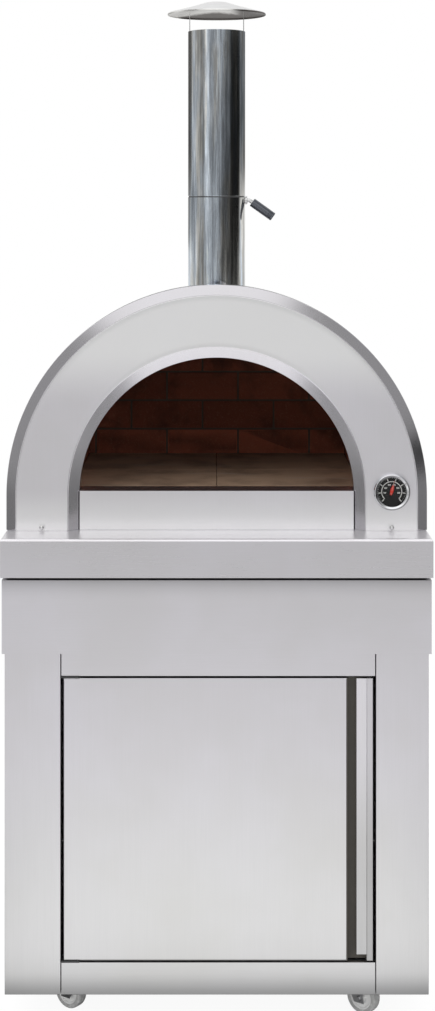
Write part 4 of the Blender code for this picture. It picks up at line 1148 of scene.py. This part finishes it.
class OVEN_OT_thermometer(bpy.types.Operator):
    """Dial thermometer: case, bezel, printed dial, needle and lens"""

    bl_idname = "oven.thermometer"
    bl_label = "Thermometer"

    def execute(self, context):
        out = (0, -1, 0)
        reach = (CASE_HIGH.x - CASE_LOW.x) / 2
        depth = FACE_Y - CASE_LOW.y
        stem_end = FACE_Y - CASE_HIGH.y
        recess = reach - 0.002
        profile = [(0.0024, stem_end), (0.003, stem_end + 0.0008), (0.003, -0.014), (0.006, -0.014), (0.006, GAP),
                   (reach - 0.0006, GAP), (reach, 0.0009), (reach, depth), (recess, depth), (recess, 0.003)]
        case = turned("thermometer_case_fine", profile, DIAL, out, ["chrome"])
        finished(case, "polished_steel", "thermometer_case")
        low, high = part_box("thermometer_bezel")
        outer = (high.x - low.x) / 2
        rise = FACE_Y - low.y
        opening = 0.0285
        rim = reach + GAP
        profile = [(rim, 0.0012), (outer - 0.0004, 0.0012), (outer, 0.0018), (outer, depth - 0.0020),
                   (outer - 0.0004, depth - 0.0008), (outer - 0.0018, rise - 0.0004), (outer - 0.0024, rise),
                   (outer - 0.0030, rise - 0.0001), (opening + 0.0008, rise - 0.0018),
                   (opening, rise - 0.0024), (opening, depth + GAP), (rim, depth + GAP)]
        bezel = turned("thermometer_bezel_fine", rounded(profile, 0.0004, 2), DIAL, out, ["bezel"], ring=True)
        finished(bezel, "polished_steel", "thermometer_bezel")
        self.dial(out)
        self.needle()
        low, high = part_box("thermometer_glass")
        reach = (high.x - low.x) / 2
        near, far = FACE_Y - high.y, FACE_Y - low.y
        profile = [(reach, near), (reach, far - 0.0003), (reach - 0.0003, far)]
        glass = turned("thermometer_glass_fine", profile, DIAL, out, ["lens"])
        finished(glass, "lens_glass", "thermometer_glass")
        return {"FINISHED"}

    def dial(self, out):
        reach = (DIAL_HIGH.x - DIAL_LOW.x) / 2
        near, far = FACE_Y - DIAL_HIGH.y, FACE_Y - DIAL_LOW.y
        disc = turned("dial_disc", [(reach, near), (reach, far)], DIAL, out, ["enamel"])
        front = DIAL_LOW.y - 0.00012
        centre = (DIAL.x, front, DIAL.z)
        pieces = [disc]
        tree = ring_tree()
        sweep = math.radians(270)
        for name, count, radius, size in (("long", 8, 0.0241, (0.0019, 0.0002, 0.0058)),
                                          ("short", 36, 0.0264, (0.0004, 0.0002, 0.0018))):
            tick = worn_block(f"{name}_tick", size, 0.00003)
            ticks = grown(f"{name}_ticks", tree, tick, "print", Count=count, Radius=radius,
                          First=-sweep / 2, Step=sweep / (count - 1), Centre=centre)
            pieces.append(ticks)
        pieces.append(self.arc(0.0195, 0.00075, sweep, front))
        for i in range(6):
            angle = math.radians(40 * i - 100)
            pieces.append(self.number(str((i + 1) * 100), angle, 0.0138, front))
        finished(joined("thermometer_dial_fine", pieces), "dial_black", "thermometer_dial")

    def arc(self, radius, half, sweep, front):
        """The thin printed ring inside the ticks, open at the bottom."""
        steps = 60
        loops = []
        for i in range(steps + 1):
            angle = sweep * (i / steps - 0.5)
            spread = [(radius - half, front), (radius + half, front), (radius + half, front - 0.0001),
                      (radius - half, front - 0.0001)]
            loops.append([(DIAL.x + r * math.sin(angle), y, DIAL.z + r * math.cos(angle)) for r, y in spread])
        return loft("dial_ring", loops, ["print"])

    def number(self, words, angle, radius, front):
        """A plain printed number, upright on the dial."""
        curve = bpy.data.curves.new(f"number_{words}", "FONT")
        curve.body = words
        curve.size = 0.0040
        curve.offset = 0.00012
        curve.align_x = "CENTER"
        curve.align_y = "CENTER"
        curve.extrude = 0.00005
        text = linked(f"number_{words}", curve)
        graph = bpy.context.evaluated_depsgraph_get()
        mesh = bpy.data.meshes.new_from_object(text.evaluated_get(graph))
        bpy.data.objects.remove(text, do_unlink=True)
        for vertex in mesh.vertices:
            flat = vertex.co.copy()
            vertex.co = (DIAL.x + radius * math.sin(angle) + flat.x, front - flat.z,
                         DIAL.z + radius * math.cos(angle) + flat.y)
        mesh.materials.clear()
        mesh.materials.append(FINISHES["print"])
        piece = linked(f"number_{words}", mesh)
        return piece

    def needle(self):
        """A red pointer with a pale tip line and a hub cap."""
        low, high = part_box("thermometer_needle")
        tilt = math.radians(15)
        half = [(0.0014, -0.0068), (0.0026, -0.0026), (0.0031, 0.002), (0.0026, 0.007), (0.0014, 0.0125),
                (0.0006, 0.0130), (0.0004, 0.0215)]
        outline = half + [(-u, v) for u, v in half[::-1]]
        line = [(-0.0004, -0.0060), (0.0004, -0.0060), (0.0004, 0.0195), (-0.0004, 0.0195)]
        across, rise = math.cos(tilt), math.sin(tilt)

        def placed(points):
            return [(DIAL.x + u * across + v * rise, DIAL.z - u * rise + v * across) for u, v in points]

        blade = prism("needle_blade", placed(rounded(outline, 0.0004, 2)), "Y", high.y - 0.0001, low.y + 0.0002,
                      ["needle"])
        mark = prism("needle_line", placed(line), "Y", low.y + 0.0003, low.y + 0.0001, ["pointer_line"])
        hub = [(0.0026, FACE_Y - high.y + 0.0001), (0.0026, FACE_Y - low.y - 0.0002), (0.0018, FACE_Y - low.y)]
        cap = turned("needle_hub", hub, DIAL, (0, -1, 0), ["needle"], steps=32)
        finished(joined("thermometer_needle_fine", [blade, mark, cap]), "needle_red", "thermometer_needle")


class OVEN_OT_pegs(bpy.types.Operator):
    """The two dome-headed pegs low on the face"""

    bl_idname = "oven.pegs"
    bl_label = "Face pegs"

    def execute(self, context):
        for word in ("left", "right"):
            node = f"face_peg_{word}"
            low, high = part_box(node)
            head = (high.x - low.x) / 2
            stand = FACE_Y - low.y
            tail = FACE_Y - high.y
            profile = [(0.0022, tail), (0.0025, tail + 0.0004), (0.0025, GAP), (head - 0.0004, GAP),
                       (head, 0.0007)]
            for i in range(9):
                angle = math.pi / 2 * i / 8
                height = stand * 0.48 + stand * 0.52 * math.sin(angle)
                profile.append((max(head * math.cos(angle), 0.0003), height))
            centre = ((low.x + high.x) / 2, FACE_Y, (low.z + high.z) / 2)
            peg = turned(f"{node}_fine", profile, centre, (0, -1, 0), ["chrome"], steps=48)
            finished(peg, "polished_steel", node)
        return {"FINISHED"}


class OVEN_OT_casters(bpy.types.Operator):
    """Wheels, forks and plates of the four casters"""

    bl_idname = "oven.casters"
    bl_label = "Casters"

    def execute(self, context):
        joints = {joint["name"]: joint for joint in frame["joints"]}
        for name in ("front_left", "front_right", "rear_left", "rear_right"):
            roll = joints[f"{name}_wheel_roll"]
            hub = Vector(roll["pos_m"])
            axle = Vector(roll["axis"]).normalized()
            self.wheel(name, hub, axle)
            softened(f"{name}_caster_fork", "zinc", 0.0007, "zinc_plated_steel", 2)
            softened(f"{name}_caster_plate", "zinc", 0.0006, "zinc_plated_steel", 2)
            self.bolt(name, hub, axle)
        return {"FINISHED"}

    def wheel(self, name, hub, axle):
        """A pale moulded centre with a raised hub, and a grey tyre with soft shoulders."""
        radius = hub.z
        half = 0.011
        side = [(0.0088, 0.0142), (0.0090, 0.0138), (0.0090, 0.0095), (0.0104, 0.0082), (0.0150, 0.0078),
                (0.0190, 0.0080), (0.0208, 0.0100), (0.0222, 0.0104), (0.0232, 0.0104)]
        tread = [(0.0236, 0.0106), (0.0262, half), (0.0290, half), (0.0312, 0.0099), (0.0322, 0.0082),
                 (radius, 0.0055)]
        edge = side + tread
        profile = edge + [(reach, -along) for reach, along in edge[::-1]]
        count = len(side)
        total = len(profile)
        wheel = turned(f"{name}_caster_wheel_fine", profile, hub, axle, ["hub", "tyre"], steps=72,
                       pick=lambda level: 1 if count - 1 <= level < total - count else 0)
        finished(wheel, "wheel_grey", f"{name}_caster_wheel")

    def bolt(self, name, hub, axle):
        """The axle's head and nut outside the fork's cheeks."""
        parts = []
        start = 0.017
        for word, way in (("head", 1), ("nut", -1)):
            profile = [(0.0050, start), (0.0050, start + 0.0032), (0.0044, start + 0.0038)]
            parts.append(turned(f"axle_{word}", profile, hub, axle * way, ["zinc"], steps=6))
        finished(joined(f"{name}_axle_bolt", parts), "zinc_plated_steel", body=f"{name}_swivel")


class OVEN_OT_fasteners(bpy.types.Operator):
    """Flange bolts and back panel screws"""

    bl_idname = "oven.fasteners"
    bl_label = "Fasteners"

    def execute(self, context):
        size = sizes()
        shell = SHELL_HIGH.x + GAP
        thick = FLANGE_HIGH.z - (ARCH_CENTRE + shell)
        bolt = dome_head("flange_bolt", 0.0052, 0.0042, "chrome")
        bolts = grown("flange_bolts", saddle_bolts_tree(), bolt, "chrome", Count=size.flange_bolts, Ring=0.0765,
                      Shell=shell + thick, Centre=(FLUE.x, FLUE.y, ARCH_CENTRE))
        finished(bolts, "polished_steel", body="root")

        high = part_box("oven_back_panel")[1]
        screw = dome_head("panel_screw", 0.0045, 0.0025, "chrome")
        for vertex in screw.data.vertices:
            vertex.co = (vertex.co.x, vertex.co.z, -vertex.co.y)
        count = 9
        screws = grown("back_panel_screws", ring_tree(), screw, "chrome", Count=count, Radius=high.x - 0.016,
                       First=-math.pi / 2, Step=math.pi / (count - 1), Centre=(0.0, high.y - 0.0001, ARCH_CENTRE))
        finished(screws, "polished_steel", body="root")
        return {"FINISHED"}


class OVEN_OT_stage(bpy.types.Operator):
    """Floor, studio light, world and camera"""

    bl_idname = "oven.stage"
    bl_label = "Studio and camera"

    def execute(self, context):
        self.floor()
        self.world()
        self.lamp("key", (-2.2, -3.0, 3.4), (0, 0, 0.9), 2.6, 60)
        self.lamp("fill", (2.6, -2.8, 2.6), (0, 0, 0.9), 2.6, 34)
        self.lamp("top", (0.0, 0.8, 4.4), (0, 0, 0.8), 2.6, 26)
        self.lamp("low", (-2.0, -2.6, 0.32), (0, -0.3, 0.05), 0.9, 12)
        self.camera()
        context.scene.view_settings.view_transform = "Standard"
        return {"FINISHED"}

    def sides(self, across, front, lift, edge):
        """How dark the studio is round the object: open in front, two walls beside the front, paler behind."""
        turn = across.call("ARCTAN2", front).call("ABSOLUTE") * (180 / math.pi)
        return (turn + lift).between(*edge) * (1 - turn.between(74, 96) * 0.7)

    def floor(self):
        bm = bmesh.new()
        bmesh.ops.create_circle(bm, cap_ends=True, segments=96, radius=14.0)
        mesh = mesh_from("floor", bm)
        floor = linked("floor", mesh)
        material = bpy.data.materials.new("floor_white")
        material.use_nodes = True
        graph = Graph(material.node_tree)
        material.node_tree.nodes.remove(material.node_tree.nodes["Principled BSDF"])
        place = graph.node("ShaderNodeTexCoord", out="Object")
        x = graph.part(place, "X")
        y = graph.part(place, "Y")
        reach = graph.node("ShaderNodeVectorMath", {"operation": "LENGTH"}, {0: place}, out=1)
        # Painted light on the floor that the steel mirrors: darker sides, a tone that changes with distance, and
        # a painted contact shadow round the object.
        walled = self.sides(x, 0 - y, 0.0, (34, 56))
        ahead = (0 - y).between(0.50, 0.80) * (1 - (0 - y).between(1.15, 1.70))
        walled = walled.call("MAXIMUM", x.call("ABSOLUTE").between(0.46, 0.68) * ahead)
        near = 1 - reach.between(0.6, 5.0)
        far = reach.between(6.0, 11.0)
        beyond = (x.call("ABSOLUTE") - CAD_BOX[1][0]).call("MAXIMUM", y.call("ABSOLUTE") - CAD_BOX[1][1])
        painted_contact_shadow = beyond.between(0.04, 0.28) * 0.80 + 0.20
        tone = (0.60 + near * 0.40 + far * 0.35) * (1 - walled * 0.70) * painted_contact_shadow
        plain = graph.node("ShaderNodeBsdfDiffuse", {}, {"Color": (0.80, 0.80, 0.80, 1.0)})
        mirrored = self.sheet(graph, graph.mix(tone, BLACK, WHITE), 0.06, 0.97)
        white = graph.node("ShaderNodeEmission", {}, {"Color": (*WHITE, 1.0), "Strength": 1.0})
        paper = self.sheet(graph, graph.mix(1.0, BLACK, WHITE), 0.12, 0.93)
        seen = graph.node("ShaderNodeMixShader", {}, {0: reach.between(0.75, 2.4), 1: paper, 2: white})
        camera = graph.path("Camera")
        glossy = graph.path("Glossy")
        clear = graph.path("Transmission")
        picked = graph.node("ShaderNodeMixShader", {}, {0: glossy, 1: plain, 2: mirrored})
        picked = graph.node("ShaderNodeMixShader", {}, {0: camera.call("MAXIMUM", clear), 1: picked, 2: seen})
        output = material.node_tree.nodes["Material Output"]
        material.node_tree.links.new(picked.socket, output.inputs["Surface"])
        floor.data.materials.append(material)

    def sheet(self, graph, colour, lit, glow):
        """Paper that glows in its colour and, by the share lit, keeps the object's shadow."""
        shaded = graph.node("ShaderNodeBsdfDiffuse", {}, {"Color": graph.mix(lit, BLACK, colour)})
        glow = graph.node("ShaderNodeEmission", {}, {"Color": colour, "Strength": glow})
        return graph.node("ShaderNodeAddShader", {}, {0: shaded, 1: glow})

    def world(self):
        """White to the camera. Steel sees an open front, dark side walls and flags at the flue's height."""
        world = bpy.data.worlds.new("studio")
        bpy.context.scene.world = world
        world.use_nodes = True
        graph = Graph(world.node_tree)
        ray = graph.node("ShaderNodeTexCoord", out="Generated")
        x = graph.part(ray, "X")
        y = graph.part(ray, "Y")
        z = graph.part(ray, "Z")
        walled = self.sides(x, 0 - y, z.call("MAXIMUM", 0.0) * 14, (34, 56))
        wall = 1.0 - walled * 0.68
        ceiling = (z - x * 0.141).between(0.70, 0.79)
        seen = wall * (1 - ceiling) + ceiling
        angle = x.call("ARCTAN2", 0 - y) / (2 * math.pi) + 0.5
        upper = [(-180, 0.12), (-124, 0.10), (-114, 0.62), (-104, 0.66), (-86, 0.50), (-70, 0.30), (-50, 0.30),
                 (-45, 0.95), (-34, 0.80), (-28, 0.42), (-14, 0.36), (0, 0.44), (20, 0.30), (30, 0.17),
                 (54, 0.12), (62, 0.012), (104, 0.006), (114, 0.20), (180, 0.18)]
        lower = [(-180, 0.20), (-132, 0.34), (-104, 0.38), (-70, 0.38), (-52, 0.31), (-43, 0.60), (-25, 0.46),
                 (-16, 0.28), (0, 0.34), (16, 0.17), (26, 0.10), (50, 0.09), (62, 0.02), (100, 0.01),
                 (112, 0.88), (180, 0.95)]
        foot = [(-180, 0.84), (-92, 0.80), (-80, 0.30), (-56, 0.22), (-40, 0.42), (-24, 0.36), (0, 0.38),
                (11, 0.27), (22, 0.09), (45, 0.055), (68, 0.02), (90, 0.005), (100, 0.20), (110, 0.88),
                (180, 0.95)]
        upper, lower, foot = (self.ring(graph, angle, stops) for stops in (upper, lower, foot))
        below = graph.mix(z.between(-0.029, -0.021), foot, lower)
        flags = graph.mix(z.between(0.0, 0.022), below, upper)
        band = z.between(-0.070, -0.056) * (1 - z.between(0.105, 0.125))
        seen = graph.mix(band, graph.mix(seen, BLACK, WHITE), flags)
        glossy = graph.path("Glossy")
        camera = graph.path("Camera")
        clear = graph.path("Transmission")
        colour = graph.mix(glossy, (0.62, 0.62, 0.62), seen)
        colour = graph.mix(camera.call("MAXIMUM", clear), colour, WHITE)
        world.node_tree.links.new(colour.socket, world.node_tree.nodes["Background"].inputs["Color"])

    def ring(self, graph, angle, stops):
        """Flags round the flue, as (degrees from the front, level)."""
        steps = [((degrees + 180) / 360, level) for degrees, level in stops]
        return graph.node("ShaderNodeValToRGB", {"stops": steps}, {"Fac": angle})

    def lamp(self, name, place, aim, size, power):
        """A soft box. Steel doesn't mirror it, so that no hard bright edge runs down the flue."""
        data = bpy.data.lights.new(name, "AREA")
        data.shape = "SQUARE"
        data.size = size
        data.energy = power
        lamp = linked(name, data)
        lamp.location = place
        lamp.rotation_euler = (Vector(aim) - Vector(place)).to_track_quat("-Z", "Y").to_euler()
        lamp.visible_glossy = False

    def camera(self):
        data = bpy.data.cameras.new("camera")
        data.lens = 64.0
        data.sensor_width = 36.0
        data.shift_x = 0.0008
        data.shift_y = -0.302
        data.clip_end = 60.0
        camera = linked("camera", data)
        camera.location = (0.0, -3.76, 1.582)
        camera.rotation_euler = (math.pi / 2, 0.0, 0.0)
        bpy.context.scene.camera = camera


PIECES = (OVEN_OT_sheet_steel, OVEN_OT_door_pull, OVEN_OT_face, OVEN_OT_shell, OVEN_OT_flue, OVEN_OT_damper,
          OVEN_OT_lining, OVEN_OT_thermometer, OVEN_OT_pegs, OVEN_OT_casters, OVEN_OT_fasteners, OVEN_OT_stage)


class OVEN_PT_panel(bpy.types.Panel):
    """Lists what the oven's dressing can make"""

    bl_label = "Pizza oven module"
    bl_idname = "OVEN_PT_panel"
    bl_space_type = "VIEW_3D"
    bl_region_type = "UI"
    bl_category = "Oven"

    def draw(self, context):
        layout = self.layout
        for group in (context.scene.oven_sizes, context.scene.oven_colours):
            for name in group.bl_rna.properties.keys():
                if name not in ("rna_type", "name"):
                    layout.prop(group, name)
        for piece in PIECES:
            layout.operator(piece.bl_idname)


CLASSES = (OvenSizes, OvenColours, *PIECES, OVEN_PT_panel)


def register():
    for item in CLASSES:
        bpy.utils.register_class(item)
    bpy.types.Scene.oven_sizes = bpy.props.PointerProperty(type=OvenSizes)
    bpy.types.Scene.oven_colours = bpy.props.PointerProperty(type=OvenColours)


def unregister():
    del bpy.types.Scene.oven_sizes
    del bpy.types.Scene.oven_colours
    for item in reversed(CLASSES):
        bpy.utils.unregister_class(item)


def main():
    register()
    make_finishes()
    for piece in PIECES:
        group, name = piece.bl_idname.split(".")
        getattr(getattr(bpy.ops, group), name)()


if __name__ == "__main__":
    main()
